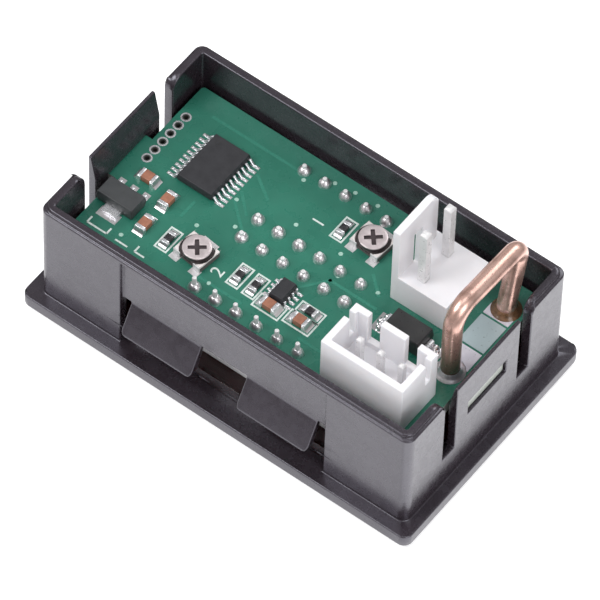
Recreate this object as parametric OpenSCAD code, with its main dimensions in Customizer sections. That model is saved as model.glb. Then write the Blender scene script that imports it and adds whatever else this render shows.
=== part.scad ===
// Snap-in panel meter with two three-digit displays, seen from its wiring side.
// It lies on its bezel: the front face is at z = 0 and the wiring side looks along +Z.
// The origin is the middle of the bezel's front face. +X is the long side.

/* [Bezel] */
// Length of the bezel
bezel_l = 48; // [47.5:0.1:52]
// Width of the bezel
bezel_w = 29; // [28.5:0.1:32]
// Thickness of the bezel
bezel_t = 2.0; // [1.6:0.1:3]
// Corner radius of the bezel
bezel_r = 1.0; // [0.8:0.1:2]
// Chamfer round the bezel's front edge
bezel_chamfer = 0.5; // [0.2:0.1:0.8]
// Length of the display window in the bezel
window_l = 40.4; // [36:0.1:41]
// Width of the display window in the bezel
window_w = 21.4; // [20.6:0.1:22]
// Corner radius of the display window
window_r = 0.8; // [0.4:0.1:1.5]

/* [Case] */
// Length of the case behind the bezel
body_l = 45.4; // [45:0.1:45.6]
// Width of the case behind the bezel
body_w = 26.0; // [25.8:0.1:26.4]
// Height of the case's open rim over the front face
case_h = 16.2; // [15.4:0.1:18]
// Thickness of the case walls
wall_t = 1.15; // [1:0.05:1.3]
// Outer corner radius of the case
body_r = 1.0; // [0.6:0.1:1.5]
// Width of the ledge outside the rim
rim_ledge = 0.35; // [0.2:0.05:0.5]
// Height of the rim over that ledge
rim_h = 0.4; // [0.2:0.1:0.8]
// Radius of the wall corners beside the end slots
post_r = 1.5; // [0.5:0.1:2]

/* [End tongues] */
// Width of the spring tongue at each end
tongue_w = 10.3; // [9:0.1:11]
// Width of the slot on each side of a tongue
slot_w = 1.9; // [1:0.1:2.2]
// Height of a tongue's root over the front face
tongue_root_z = 6.2; // [4:0.1:8]
// Thickness of a tongue
tongue_t = 1.0; // [0.8:0.05:1]
// Thickness of a tongue at its tip
tongue_tip_t = 0.4; // [0.3:0.05:0.6]
// Length over which a tongue thins towards its tip
tongue_taper_h = 3.3; // [2.5:0.1:3.6]
// Width of the board tab that each tongue catches
tab_w = 6.0; // [4:0.1:7]
// Clearance of a tab in its tongue
tab_fit = 0.15; // [0.05:0.05:0.3]
// Depth of a tab's end below the tongue's outer face
tab_inset = 0.35; // [0.2:0.05:0.6]

/* [Side snaps] */
// Length of the window in each long wall
snap_window_l = 25.2; // [24:0.1:27]
// Height of that window's top over the front face
snap_window_z = 9.3; // [8.6:0.1:9.8]
// Depth of the recess in the wall over the window
recess_t = 0.4; // [0.2:0.05:0.5]
// Height of wall left between the recess and the ledge of the rim
recess_gap = 0.5; // [0.3:0.1:1]
// Width of each snap arm
barb_w = 8.7; // [7:0.1:9]
// Gap between the two snap arms of a wall
barb_gap = 5.6; // [5.2:0.1:6.4]
// Reach of a barb beyond the wall
barb_out = 1.45; // [1.2:0.05:1.5]
// Height of a barb's ridge over the front face
barb_ridge_z = 5.9; // [5.7:0.05:6.2]
// Height of a snap arm's free end over the front face
barb_tip_z = 5.5; // [5.2:0.1:5.6]
// Corner radius of a snap arm's free end
barb_r = 1.0; // [0.6:0.1:1.6]

/* [Display lens] */
// Depth of the lens face below the bezel's front
lens_recess = 0.3; // [0.1:0.1:0.8]
// Thickness of the lens flange behind the bezel
lens_flange_t = 1.8; // [1.2:0.1:2.2]
// Clearance round the lens
lens_fit = 0.1; // [0.05:0.05:0.2]

/* [Displays] */
// Length of a display
display_l = 22.5; // [21:0.1:22.6]
// Width of a display
display_w = 10.0; // [9.4:0.1:10.2]
// Height of a display
display_h = 6.2; // [5.8:0.1:6.6]
// Distance between the middles of the two displays
display_pitch = 10.3; // [10.2:0.05:10.6]
// Middle of the pair of displays along X and Y
display_at = [-0.35, 0.25]; // [-2:0.05:2]
// Height of a digit
digit_h = 7.1; // [6:0.1:7.6]
// Width of a digit
digit_w = 4.0; // [3.4:0.1:4.4]
// Distance between digits
digit_pitch = 7.0; // [6.6:0.1:7.2]
// Slant of the digits in degrees
digit_slant = 8; // [0:1:10]
// Width of a segment
segment_w = 0.85; // [0.6:0.05:1]
// Depth of the clear filling in the segments
segment_t = 1.0; // [0.5:0.1:2]
// Distance between neighbouring display pins
pin_pitch = 2.54; // [2.5:0.01:2.6]
// Distance between the two rows of pins of a display
pin_rows = 7.62; // [7.4:0.01:7.8]
// Diameter of a display pin
pin_d = 0.5; // [0.4:0.05:0.6]
// Length of a display pin behind the board
pin_out = 1.05; // [0.9:0.05:1.5]
// Length behind the board of the row of pins nearest the edge
edge_pin_out = 1.8; // [1.2:0.05:2.2]
// Radius of a display pin's solder on the board
solder_r = 0.72; // [0.6:0.02:0.8]
// Height of a display pin's solder
solder_h = 0.8; // [0.6:0.05:0.9]

/* [Circuit board] */
// Thickness of the circuit board
board_t = 1.6; // [1.2:0.1:2]
// Gap between the board's edge and the case walls
board_gap = 0.55; // [0.4:0.05:0.7]
// Extra diameter of a hole over the pin in it
hole_play = 0.3; // [0.2:0.05:0.4]
// Diameter of the programming holes
program_hole_d = 0.6; // [0.4:0.05:0.8]
// Distance between programming holes
program_pitch = 1.27; // [1.2:0.01:1.3]
// Distance of the programming holes from the board's left edge
program_edge = 1.0; // [0.9:0.05:1.4]
// Place of the first programming hole along Y
program_y = 7.2; // [7:0.05:7.6]

/* [Chips] */
// Middle of the microcontroller
mcu_at = [-13.85, 3.7]; // [-14.4:0.05:4.2]
// Size of the microcontroller's body
mcu_body = [4.4, 6.5, 1.0]; // [0.8:0.1:6.8]
// Width over the microcontroller's leads
mcu_span = 6.4; // [6:0.1:6.8]
// Middle of the amplifier
amp_at = [0.65, -4.0]; // [-4.1:0.05:1]
// Size of the amplifier's body
amp_body = [1.7, 2.6, 1.0]; // [0.8:0.1:2.8]
// Width over the amplifier's leads
amp_span = 2.9; // [2.8:0.1:3.2]
// Distance between neighbouring leads of a chip
lead_pitch = 0.65; // [0.6:0.01:0.66]
// Width of a chip's lead
lead_w = 0.26; // [0.2:0.01:0.3]
// Thickness of a chip's lead
lead_t = 0.15; // [0.1:0.01:0.2]
// Height of the chips over the board
chip_lift = 0.1; // [0.05:0.01:0.15]
// Distance of the regulator's middle from the board's left edge
reg_edge = 2.3; // [2.3:0.05:2.6]
// Middle of the regulator along Y
reg_y = -5.0; // [-5.2:0.05:-4.8]
// Size of the voltage regulator's body
reg_body = [4.5, 2.5, 1.5]; // [1.2:0.1:4.6]
// Distance between the regulator's leads
reg_pitch = 1.5; // [1.4:0.05:1.6]

/* [Trimmers] */
// Middle of the voltage trimmer
voltage_trimmer_at = [4.0, 6.3]; // [3.8:0.1:6.4]
// Turn of the voltage trimmer on the board in degrees
voltage_trimmer_turn = -4; // [-8:1:8]
// Middle of the current trimmer
current_trimmer_at = [-8.95, -5.35]; // [-9.4:0.05:-5]
// Turn of the current trimmer on the board in degrees
current_trimmer_turn = -7; // [-10:1:10]
// Size of a trimmer's base along X, Y and Z
trimmer_base = [3.6, 2.8, 0.85]; // [0.7:0.05:4]
// Radius of a trimmer's rotor
rotor_r = 1.5; // [1.4:0.05:1.6]
// Height of a trimmer's rotor from the floor it turns on
rotor_h = 0.8; // [0.7:0.05:1]
// Height over the board of the floor that a rotor turns on
rotor_floor = 0.45; // [0.3:0.05:0.5]
// Gap round a rotor in its base
rotor_gap = 0.3; // [0.3:0.05:0.4]
// Radius of the pivot that a rotor turns on
pivot_r = 0.35; // [0.3:0.01:0.4]
// Radial clearance of a rotor on its pivot
pivot_fit = 0.05; // [0.02:0.01:0.08]
// Turn of a rotor each way from the middle in degrees
rotor_turn = 115; // [100:1:125]
// Length of the cross slot in a rotor
cross_l = 1.9; // [1.4:0.1:2.2]
// Width of the cross slot in a rotor
cross_w = 0.45; // [0.3:0.05:0.6]
// Depth of the cross slot in a rotor
cross_t = 0.3; // [0.2:0.05:0.35]

/* [Signal header] */
// Gap between the end of the displays and the signal pins
signal_clear = 0.84; // [0.6:0.02:1]
// Middle of the signal header's shroud along Y
signal_y = -7.15; // [-7.3:0.05:-7]
// Size of the signal header's shroud
signal_size = [9.9, 5.75, 7.0]; // [5.5:0.05:10]
// Wall of the signal header's shroud
signal_wall = 0.75; // [0.6:0.05:0.85]
// Floor of the signal header's shroud
signal_floor = 2.2; // [1.6:0.1:3]
// Offset of the signal pins from the shroud's middle
signal_pin_y = 0.35; // [0:0.05:0.5]
// Side of a square signal pin
signal_pin = 0.64; // [0.5:0.02:0.7]
// Height of the signal pins over the board
signal_pin_h = 5.9; // [5:0.1:6.6]
// Width of the two key slots in the shroud
key_slot_w = 1.45; // [1:0.05:1.8]
// Distance between the two key slots
key_slot_pitch = 4.45; // [4:0.05:5]
// Depth of the key slots
key_slot_h = 4.1; // [3:0.1:4.6]
// Width of the relief slots in the shroud's ends
relief_slot_w = 0.8; // [0.5:0.05:1]

/* [Power header] */
// Gap between the end of the displays and the power pins
power_clear = 0.6; // [0.4:0.05:0.8]
// Middle of the power header's base along Y
power_y = 5.7; // [5.5:0.05:5.9]
// Size of the power header's base
power_base = [6.7, 7.0, 4.0]; // [3.6:0.1:7.2]
// Height of the locking plate over the board
lock_h = 11.2; // [10:0.1:12]
// Thickness of the locking plate
lock_t = 0.8; // [0.7:0.05:1.3]
// Width of the locking plate
lock_w = 6.4; // [5.4:0.1:6.6]
// Width of the slot in the locking plate
lock_slot_w = 1.3; // [1:0.1:1.5]
// Height of plate left over that slot
lock_bridge_h = 2.8; // [2.4:0.1:3.2]
// Corner radius of the locking plate's top
lock_r = 1.3; // [0.6:0.1:1.6]
// Distance between the two power pins
power_pitch = 3.96; // [3.9:0.01:4]
// Side of a square power pin
power_pin = 0.9; // [0.8:0.02:1.14]
// Height of the power pins over the board
power_pin_h = 11.6; // [9:0.1:12]
// Distance of the power pins from the base's lock side
power_pin_x = 2.8; // [2.7:0.05:3.2]

/* [Shunt] */
// Diameter of the shunt wire
shunt_d = 2.0; // [1.6:0.1:2]
// Distance of the shunt from the board's right edge
shunt_edge = 2.0; // [1.8:0.05:2.2]
// Place of the shunt's front foot along Y
shunt_y = -1.2; // [-1.4:0.05:-1]
// Distance between the shunt's two feet
shunt_span = 9.3; // [8.8:0.1:9.6]
// Height of the straight stretch of the front leg
shunt_leg_h = 7.4; // [6:0.1:8]
// Bend radius at the front of the shunt
front_bend_r = 2.3; // [1.8:0.1:2.8]
// Bend radius at the back of the shunt
back_bend_r = 1.3; // [1.1:0.1:1.8]
// Slope of the shunt's top run in degrees
top_slope = 4.6; // [0:0.1:8]
// Lean of the shunt's back leg in degrees
back_lean = 12; // [4:1:14]
// Radius of the solder at the shunt's feet
shunt_solder_r = 1.6; // [1.3:0.05:1.65]
// Height of the solder at the shunt's feet
shunt_solder_h = 0.7; // [0.4:0.1:1]

/* [Small parts] */
// Middle of the diode
diode_at = [13.5, -0.75]; // [-0.8:0.05:13.6]
// Size of the diode's body
diode_body_size = [4.4, 2.7, 2.1]; // [1.8:0.1:4.6]
// Width of a capacitor
capacitor_w = 1.1; // [0.9:0.05:1.2]
// Length of a capacitor
capacitor_l = 1.9; // [1.6:0.1:2]
// Height of a capacitor
capacitor_h = 0.75; // [0.6:0.05:1]
// Length of the metal end of a small part
end_l = 0.42; // [0.3:0.02:0.45]
// Width of a resistor
resistor_w = 0.8; // [0.7:0.05:0.9]
// Length of a resistor
resistor_l = 1.6; // [1.5:0.05:1.7]
// Height of a resistor
resistor_h = 0.5; // [0.4:0.05:0.6]
// Width of the tinned lands
land_w = 3.0; // [2.8:0.05:3.3]
// Distance of the tinned lands from the board's right edge
land_edge = 0.6; // [0.4:0.05:0.8]
// Distance of the first land from the shunt's front foot
land_start = 0.9; // [0.6:0.05:1.2]
// Lengths of the three lands, from the front foot to the back foot
land_l = [2.45, 3.75, 1.4]; // [1.3:0.05:3.9]
// Thickness of the tinned lands
land_t = 0.08; // [0.05:0.01:0.12]
// Gap between two tinned lands
land_gap = 0.25; // [0.15:0.05:0.4]

/* [Hidden] */
$fn = 48;

// What is cut right through runs past its faces by this much.
through = 1;
// Stretch by which a moulded-on piece starts inside its wall.
root_in = 0.5;

// Inside of the case
cavity_l = body_l - 2 * wall_t;
cavity_w = body_w - 2 * wall_t;
cavity_r = max(body_r - wall_t, 0.2);

// Stack along Z: bezel, lens flange, displays, board
display_front_z = bezel_t + lens_flange_t;
board_front_z = display_front_z + display_h;
board_z = board_front_z + board_t;

// Board outline
board_l = cavity_l - 2 * board_gap;
board_w = cavity_w - 2 * board_gap;
board_r = 0.4;
tab_end_x = body_l / 2 - tab_inset;

// Middle height of each display, upper first
display_y = [display_at[1] + display_pitch / 2, display_at[1] - display_pitch / 2];
pins_per_row = 6;
digits = 3;
segment_gap = 0.12;
point_r = 0.42;

// Snap arm: fall of the lip under its ridge, and thickness of its free end
barb_lip = 0.25;
barb_end_t = 1.05;

program_holes = 6;
mcu_leads_a_side = 10;
amp_leads_a_side = 4;
shoulder_l = 0.22;
foot_l = 0.5;

// Regulator
reg_at = [reg_edge - board_l / 2, reg_y];
reg_lead_w = 0.45;
reg_lead_l = 0.75;
reg_lead_t = 0.4;
reg_tab_w = 1.9;
reg_tab_l = 0.8;

// Trimmer details
stop_finger = 10;
stop_play = 1;
stop_r = 1.3;
hub_r = 0.8;
hub_h = 0.3;
stop_h = 0.25;
disc_in = 0.1;
terminal_t = 0.15;
terminal_w = 0.9;
terminal_step = 0.3;

// Header details
signal_pins = 3;
power_pins = 2;
pin_tail = 1.6;
tip_chamfer = 0.2;
relief_slot_h = 3.2;
header_solder_h = 1.0;
signal_solder_r = 0.8;
power_solder_r = 0.95;
lock_slot_sink = 1.8;
lock_pocket = 0.9;

// Headers: their pins' tails pass the end of the displays, and the mouldings follow the pins
display_end_x = display_at[0] + display_l / 2;
signal_at = [display_end_x + signal_clear + signal_pin / 2 + (signal_pins - 1) / 2 * pin_pitch, signal_y];
signal_pin_at = signal_at + [0, signal_pin_y];
power_pin_at = [display_end_x + power_clear + power_pin / 2, power_y];
power_at = [power_pin_at[0] - power_pin_x + power_base[0] / 2, power_y];

// Shunt wire: headings are turned from straight up towards +Y
shunt_at = [board_l / 2 - shunt_edge, shunt_y];
shunt_r = shunt_d / 2;
top_heading = 90 + top_slope;
leg_heading = 180 + back_lean;
foot_bend_r = 2.0;
foot_h = 0.9;
shunt_tail = 1.0;
// A straight run is drawn this much thinner than a bend, and starts this far inside it
run_slim = 0.01;
run_in = 0.05;
// Travel of a bend of radius r between two headings, as [along Y, along Z]
function bend_travel(r, from, to) = (to > from ? r : -r) * [cos(from) - cos(to), sin(to) - sin(from)];
bends = bend_travel(front_bend_r, 0, top_heading)
    + bend_travel(back_bend_r, top_heading, leg_heading)
    + bend_travel(foot_bend_r, leg_heading, 180);
// What the two straight stretches have to cover, and their lengths
left_y = shunt_span - bends[0];
left_z = foot_h - shunt_leg_h - bends[1];
turn = sin(top_heading) * cos(leg_heading) - sin(leg_heading) * cos(top_heading);
top_run_l = (left_y * cos(leg_heading) - left_z * sin(leg_heading)) / turn;
back_leg_l = (left_z * sin(top_heading) - left_y * cos(top_heading)) / turn;

// Small parts: place and turn of each, in degrees
capacitors = [[-18.3, -1.15, 0], [-15.1, -2.15, 90], [-15.1, -5.8, 90], [0.5, -6.0, 0], [4.0, -5.65, 0]];
resistors = [[-12.2, -5.7, 90], [-4.0, -4.85, 90], [-2.0, -4.9, 90], [0.7, 5.9, 90], [4.1, -4.1, 0]];

// Diode terminals
diode_tab_w = 1.5;
diode_tab_t = 0.2;
diode_tab_l = 0.5;
diode_tab_h = 1.1;

// Fronts of the three tinned lands along Y, between the shunt's feet
land_fronts = [
    shunt_at[1] + land_start,
    shunt_at[1] + land_start + land_l[0] + land_gap,
    shunt_at[1] + land_start + land_l[0] + land_l[1] + 2 * land_gap
];

// ---------------------------------------------------------------- helpers

// Rectangle with round corners, centred
module rounded_rect(l, w, r) {
    square([l - 2 * r, w], center = true);
    square([l, w - 2 * r], center = true);
    for (x = [-1, 1], y = [-1, 1])
        translate([x * (l / 2 - r), y * (w / 2 - r)]) circle(r = r);
}

// Block centred in X and Y that stands on z = 0
module block(size) {
    translate([0, 0, size[2] / 2]) cube(size, center = true);
}

// Profile drawn in Y and Z, extruded along X and centred
module along_x(l) {
    translate([-l / 2, 0, 0]) rotate([90, 0, 90]) linear_extrude(l) children();
}

// Profile drawn in X and Z, extruded along Y and centred
module along_y(w) {
    translate([0, w / 2, 0]) rotate([90, 0, 0]) linear_extrude(w) children();
}

// One copy as it is and one mirrored, across X or Y
module both_ends() {
    children();
    mirror([1, 0, 0]) children();
}

module both_sides() {
    children();
    mirror([0, 1, 0]) children();
}

// ---------------------------------------------------------------- housing

// Bezel with a chamfered front edge
module bezel_plate() {
    hull() {
        linear_extrude(0.01)
            rounded_rect(bezel_l - 2 * bezel_chamfer, bezel_w - 2 * bezel_chamfer, bezel_r, $fn = 32);
        translate([0, 0, bezel_chamfer])
            linear_extrude(bezel_t - bezel_chamfer) rounded_rect(bezel_l, bezel_w, bezel_r, $fn = 32);
    }
}

// Ledge cut round the outside of the rim
module rim_cut() {
    translate([0, 0, case_h - rim_h]) linear_extrude(rim_h + through) difference() {
        square([body_l + through, body_w + through], center = true);
        rounded_rect(body_l - 2 * rim_ledge, body_w - 2 * rim_ledge, body_r);
    }
}

// Opening in an end wall for the tongue and its two slots, with round upper corners
module tongue_cut() {
    half = tongue_w / 2 + slot_w;
    translate([body_l / 2, 0, 0]) along_x(4 * wall_t) {
        translate([-half, tongue_root_z]) square([2 * half, case_h]);
        for (side = [-1, 1]) translate([side * half, case_h]) difference() {
            translate([-post_r, -post_r]) square(2 * post_r);
            translate([side * post_r, -post_r]) circle(r = post_r);
            translate([side > 0 ? post_r : -2 * post_r, -post_r]) square([post_r, 2 * post_r]);
        }
    }
}

// Spring tongue of one end, with the slot that catches a tab of the board
module tongue() {
    face = body_l / 2;
    difference() {
        along_y(tongue_w) polygon([
            [face, tongue_root_z - root_in],
            [face, case_h],
            [face - tongue_tip_t, case_h],
            [face - tongue_t, case_h - tongue_taper_h],
            [face - tongue_t, tongue_root_z - root_in]
        ]);
        translate([face, 0, board_front_z - tab_fit])
            block([4 * wall_t, tab_w + 2 * tab_fit, board_t + 2 * tab_fit]);
    }
}

// Window and recess of one long wall
module snap_cut() {
    face = body_w / 2;
    recess_top = case_h - rim_h - recess_gap;
    translate([0, face, bezel_t]) block([snap_window_l, 4 * wall_t, snap_window_z - bezel_t]);
    translate([0, face, bezel_t]) block([snap_window_l, 2 * recess_t, recess_top - bezel_t]);
}

// Snap arm: a leaf that hangs from the window's top edge, slopes outwards and ends in a ridge
module snap_arm() {
    face = body_w / 2;
    intersection() {
        along_x(barb_w) polygon([
            [face - wall_t, snap_window_z + root_in],
            [face - recess_t, snap_window_z + root_in],
            [face - recess_t, snap_window_z],
            [face + barb_out, barb_ridge_z],
            [face + barb_out - barb_lip / 2, barb_ridge_z - barb_lip],
            [face + barb_out - barb_end_t, barb_tip_z],
            [face - wall_t, snap_window_z]
        ]);
        along_y(2 * body_w) union() {
            translate([0, barb_tip_z + barb_r + through])
                square([barb_w, 2 * through], center = true);
            translate([-barb_w / 2, barb_tip_z + barb_r]) square([barb_w, case_h]);
            translate([-barb_w / 2 + barb_r, barb_tip_z]) square([barb_w - 2 * barb_r, case_h]);
            for (side = [-1, 1])
                translate([side * (barb_w / 2 - barb_r), barb_tip_z + barb_r]) circle(r = barb_r);
        }
    }
}

// One moulding: bezel, case, end tongues and side snap arms
module housing() {
    color([0.15, 0.15, 0.16]) {
        difference() {
            union() {
                bezel_plate();
                translate([0, 0, bezel_t / 2])
                    linear_extrude(case_h - bezel_t / 2) rounded_rect(body_l, body_w, body_r);
            }
            translate([0, 0, bezel_t]) linear_extrude(case_h) rounded_rect(cavity_l, cavity_w, cavity_r);
            translate([0, 0, -through])
                linear_extrude(bezel_t + 2 * through) rounded_rect(window_l, window_w, window_r);
            rim_cut();
            both_ends() tongue_cut();
            both_sides() snap_cut();
        }
        both_ends() tongue();
        both_sides() for (side = [-1, 1])
            translate([side * (barb_gap + barb_w) / 2, 0, 0]) snap_arm();
    }
}

// Tinted lens: a flange behind the bezel and a nose that fills the window
module display_lens() {
    color([0.12, 0.05, 0.06]) {
        translate([0, 0, bezel_t]) linear_extrude(lens_flange_t)
            rounded_rect(cavity_l - 2 * lens_fit, cavity_w - 2 * lens_fit, window_r);
        translate([0, 0, lens_recess]) linear_extrude(bezel_t - lens_recess + lens_flange_t / 2)
            rounded_rect(window_l - 2 * lens_fit, window_w - 2 * lens_fit, window_r);
    }
}

// ---------------------------------------------------------------- circuit board

// Place children at every pin of one display
module at_display_pins(y) {
    for (i = [0 : pins_per_row - 1], row = [-1, 1])
        translate([display_at[0] + (i - (pins_per_row - 1) / 2) * pin_pitch, y + row * pin_rows / 2])
            children();
}

module at_signal_pins() {
    for (i = [0 : signal_pins - 1])
        translate(signal_pin_at + [(i - (signal_pins - 1) / 2) * pin_pitch, 0]) children();
}

module at_power_pins() {
    for (i = [0 : power_pins - 1])
        translate(power_pin_at + [0, (i - (power_pins - 1) / 2) * power_pitch]) children();
}

module at_shunt_feet() {
    for (y = [0, shunt_span])
        translate(shunt_at + [0, y]) children();
}

// Board with its two end tabs and all its holes
module circuit_board() {
    color([0.12, 0.42, 0.33]) translate([0, 0, board_front_z]) linear_extrude(board_t) difference() {
        union() {
            rounded_rect(board_l, board_w, board_r);
            square([2 * tab_end_x, tab_w], center = true);
        }
        for (y = display_y) at_display_pins(y) circle(d = pin_d + hole_play);
        for (i = [0 : program_holes - 1])
            translate([program_edge - board_l / 2, program_y - i * program_pitch]) circle(d = program_hole_d);
        at_signal_pins() circle(d = signal_pin * sqrt(2) + hole_play);
        at_power_pins() circle(d = power_pin * sqrt(2) + hole_play);
        at_shunt_feet() circle(d = shunt_d + hole_play);
    }
}

// Bare tinned copper between the shunt's feet
module tinned_lands() {
    color([0.78, 0.8, 0.82]) translate([0, 0, board_z]) linear_extrude(land_t) difference() {
        for (i = [0 : len(land_l) - 1])
            translate([board_l / 2 - land_edge - land_w, land_fronts[i]])
                square([land_w, land_l[i]]);
        at_shunt_feet() circle(r = shunt_solder_r);
    }
}

// ---------------------------------------------------------------- displays

// Corner of a segment, moved sideways by the slant of the digit
function slanted(p) = [p[0] + p[1] * tan(digit_slant), p[1]];

// Outline of a segment: a bar with pointed ends
module segment(middle, l, upright) {
    half = l / 2 - segment_gap;
    t = segment_w / 2;
    bar = [[-half, 0], [t - half, t], [half - t, t], [half, 0], [half - t, -t], [t - half, -t]];
    polygon([for (p = bar) slanted(middle + (upright ? [-p[1], p[0]] : p))]);
}

// One digit and its decimal point, seen from the front
module digit() {
    x = (digit_w - segment_w) / 2;
    y = (digit_h - segment_w) / 2;
    for (level = [-1, 0, 1]) segment([0, level * y], 2 * x, false);
    for (side = [-1, 1], half = [-1, 1]) segment([side * x, half * y / 2], y, true);
    translate(slanted([digit_w / 2 + 2 * point_r, -y])) circle(r = point_r);
}

// All digits of a display as they lie in its front face
module digit_row(y) {
    translate([display_at[0], y]) mirror([1, 0]) for (i = [0 : digits - 1])
        translate([(i - (digits - 1) / 2) * digit_pitch - point_r, 0]) digit();
}

module display_shell(y) {
    color([0.72, 0.72, 0.74]) difference() {
        translate([display_at[0], y, display_front_z]) block([display_l, display_w, display_h]);
        translate([0, 0, display_front_z - segment_t]) linear_extrude(2 * segment_t) digit_row(y);
    }
}

module display_segments(y) {
    color([0.92, 0.92, 0.9])
        translate([0, 0, display_front_z]) linear_extrude(segment_t) digit_row(y);
}

// Pins through the board; row -1 is the one nearer to -Y
module display_pins(y, edge_row) {
    color([0.8, 0.8, 0.82]) for (i = [0 : pins_per_row - 1], row = [-1, 1])
        translate([
            display_at[0] + (i - (pins_per_row - 1) / 2) * pin_pitch,
            y + row * pin_rows / 2,
            board_front_z
        ]) cylinder(h = board_t + (row == edge_row ? edge_pin_out : pin_out), d = pin_d, $fn = 24);
}

// Solder that rises from the board up a pin, hollow where the pin passes
module display_solder(y) {
    color([0.82, 0.82, 0.84]) at_display_pins(y) translate([0, 0, board_z])
        rotate_extrude($fn = 24) polygon([
            [pin_d / 2, 0],
            [solder_r, 0],
            [solder_r * 0.8, solder_h * 0.3],
            [pin_d / 2 + 0.12, solder_h * 0.8],
            [pin_d / 2, solder_h]
        ]);
}

// ---------------------------------------------------------------- chips

// Chip body with sides that draw in above and below the leads
module chip_body(size) {
    draft = 0.12;
    x = size[0] / 2;
    z = size[2];
    intersection() {
        along_y(size[1]) polygon([[draft - x, 0], [x - draft, 0], [x, z / 2], [x - draft, z], [draft - x, z], [-x, z / 2]]);
        along_x(size[0]) polygon([
            [draft - size[1] / 2, 0], [size[1] / 2 - draft, 0], [size[1] / 2, z / 2],
            [size[1] / 2 - draft, z], [draft - size[1] / 2, z], [-size[1] / 2, z / 2]
        ]);
    }
}

// Bent lead: shoulder at the body, leg down, foot on the board
module gull_lead(body_x, span, shoulder_z) {
    start = body_x / 2;
    knee = start + shoulder_l;
    end = span / 2;
    ankle = end - foot_l;
    along_y(lead_w) polygon([
        [start, shoulder_z + lead_t / 2],
        [knee, shoulder_z + lead_t / 2],
        [ankle + lead_t, lead_t],
        [end, lead_t],
        [end, 0],
        [ankle, 0],
        [knee - lead_t, shoulder_z - lead_t / 2],
        [start, shoulder_z - lead_t / 2]
    ]);
}

module chip_leads(body, span, count) {
    for (i = [0 : count - 1]) translate([0, (i - (count - 1) / 2) * lead_pitch, 0])
        both_ends() gull_lead(body[0], span, chip_lift + body[2] / 2);
}

module microcontroller_body() {
    color([0.24, 0.24, 0.26])
        translate([mcu_at[0], mcu_at[1], board_z + chip_lift]) chip_body(mcu_body);
}

module microcontroller_leads() {
    color([0.8, 0.8, 0.82])
        translate([mcu_at[0], mcu_at[1], board_z]) chip_leads(mcu_body, mcu_span, mcu_leads_a_side);
}

module amplifier_body() {
    color([0.22, 0.22, 0.24])
        translate([amp_at[0], amp_at[1], board_z + chip_lift]) chip_body(amp_body);
}

module amplifier_leads() {
    color([0.8, 0.8, 0.82])
        translate([amp_at[0], amp_at[1], board_z]) chip_leads(amp_body, amp_span, amp_leads_a_side);
}

// Regulator: flat power package with three leads at +Y and its heat tab at -Y
module regulator_body() {
    color([0.22, 0.22, 0.23]) translate([reg_at[0], reg_at[1], board_z]) difference() {
        chip_body(reg_body);
        for (i = [-1 : 1]) translate([i * reg_pitch, reg_body[1] / 2, 0])
            block([i == 0 ? reg_tab_w : reg_lead_w, 2 * terminal_step, reg_lead_t]);
        translate([0, -reg_body[1] / 2, 0]) block([reg_tab_w, 2 * terminal_step, reg_lead_t]);
    }
}

module regulator_leads() {
    front = -reg_body[1] / 2 - reg_tab_l;
    back = reg_body[1] / 2 - terminal_step;
    color([0.8, 0.8, 0.82]) translate([reg_at[0], reg_at[1], board_z]) {
        for (i = [-1 : 1]) translate([i * reg_pitch - reg_lead_w / 2, back, 0])
            cube([reg_lead_w, terminal_step + reg_lead_l, reg_lead_t]);
        translate([-reg_tab_w / 2, front, 0])
            cube([reg_tab_w, reg_tab_l + terminal_step, reg_lead_t]);
    }
}

// ---------------------------------------------------------------- trimmers

// Round sector between two angles, extruded up from z = 0
module sector(r, from, to, h) {
    rotate([0, 0, from]) rotate_extrude(angle = to - from) square([r, h]);
}

// Base: a dished block with the pivot, and a stop that limits the rotor's finger
module trimmer_base_solid(at, turned) {
    stop_half = 180 - rotor_turn - stop_finger - stop_play;
    pivot_h = rotor_h - cross_t - disc_in;
    color([0.85, 0.82, 0.78]) translate([at[0], at[1], board_z]) rotate([0, 0, turned]) {
        difference() {
            block(trimmer_base);
            translate([0, 0, rotor_floor]) cylinder(h = trimmer_base[2], r = rotor_r + rotor_gap);
        }
        cylinder(h = rotor_floor + pivot_h, r = pivot_r, $fn = 24);
        translate([0, 0, rotor_floor - disc_in]) difference() {
            sector(stop_r + disc_in, 270 - stop_half, 270 + stop_half, stop_h + disc_in);
            translate([0, 0, -through]) cylinder(h = 3 * through, r = hub_r + rotor_gap);
        }
    }
}

// Metal terminals folded up the sides of the base: two in front, one behind
module trimmer_terminals(at, turned) {
    y = (trimmer_base[1] + terminal_t) / 2;
    color([0.8, 0.8, 0.82]) translate([at[0], at[1], board_z]) rotate([0, 0, turned]) {
        for (side = [-1, 1])
            translate([side * (trimmer_base[0] - terminal_w) / 2, -y, 0])
                block([terminal_w, terminal_t, trimmer_base[2]]);
        translate([0, y, 0]) block([2 * terminal_w, terminal_t, rotor_floor]);
    }
}

// Rotor: slotted disc on a hub, with the finger that meets the stop
module trimmer_rotor(at, turned) {
    bore_h = rotor_h - cross_t - disc_in / 2;
    color([0.72, 0.66, 0.64]) translate([at[0], at[1], board_z + rotor_floor])
        rotate([0, 0, turned]) difference() {
            union() {
                cylinder(h = hub_h + disc_in, r = hub_r);
                sector(stop_r, 90 - stop_finger, 90 + stop_finger, hub_h + disc_in);
                translate([0, 0, hub_h]) cylinder(h = rotor_h - hub_h, r = rotor_r);
            }
            translate([0, 0, -through])
                cylinder(h = through + bore_h, r = pivot_r + pivot_fit, $fn = 24);
            for (a = [45, 135]) rotate([0, 0, a])
                translate([0, 0, rotor_h - cross_t]) block([cross_l, cross_w, through]);
        }
}

// ---------------------------------------------------------------- headers

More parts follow.
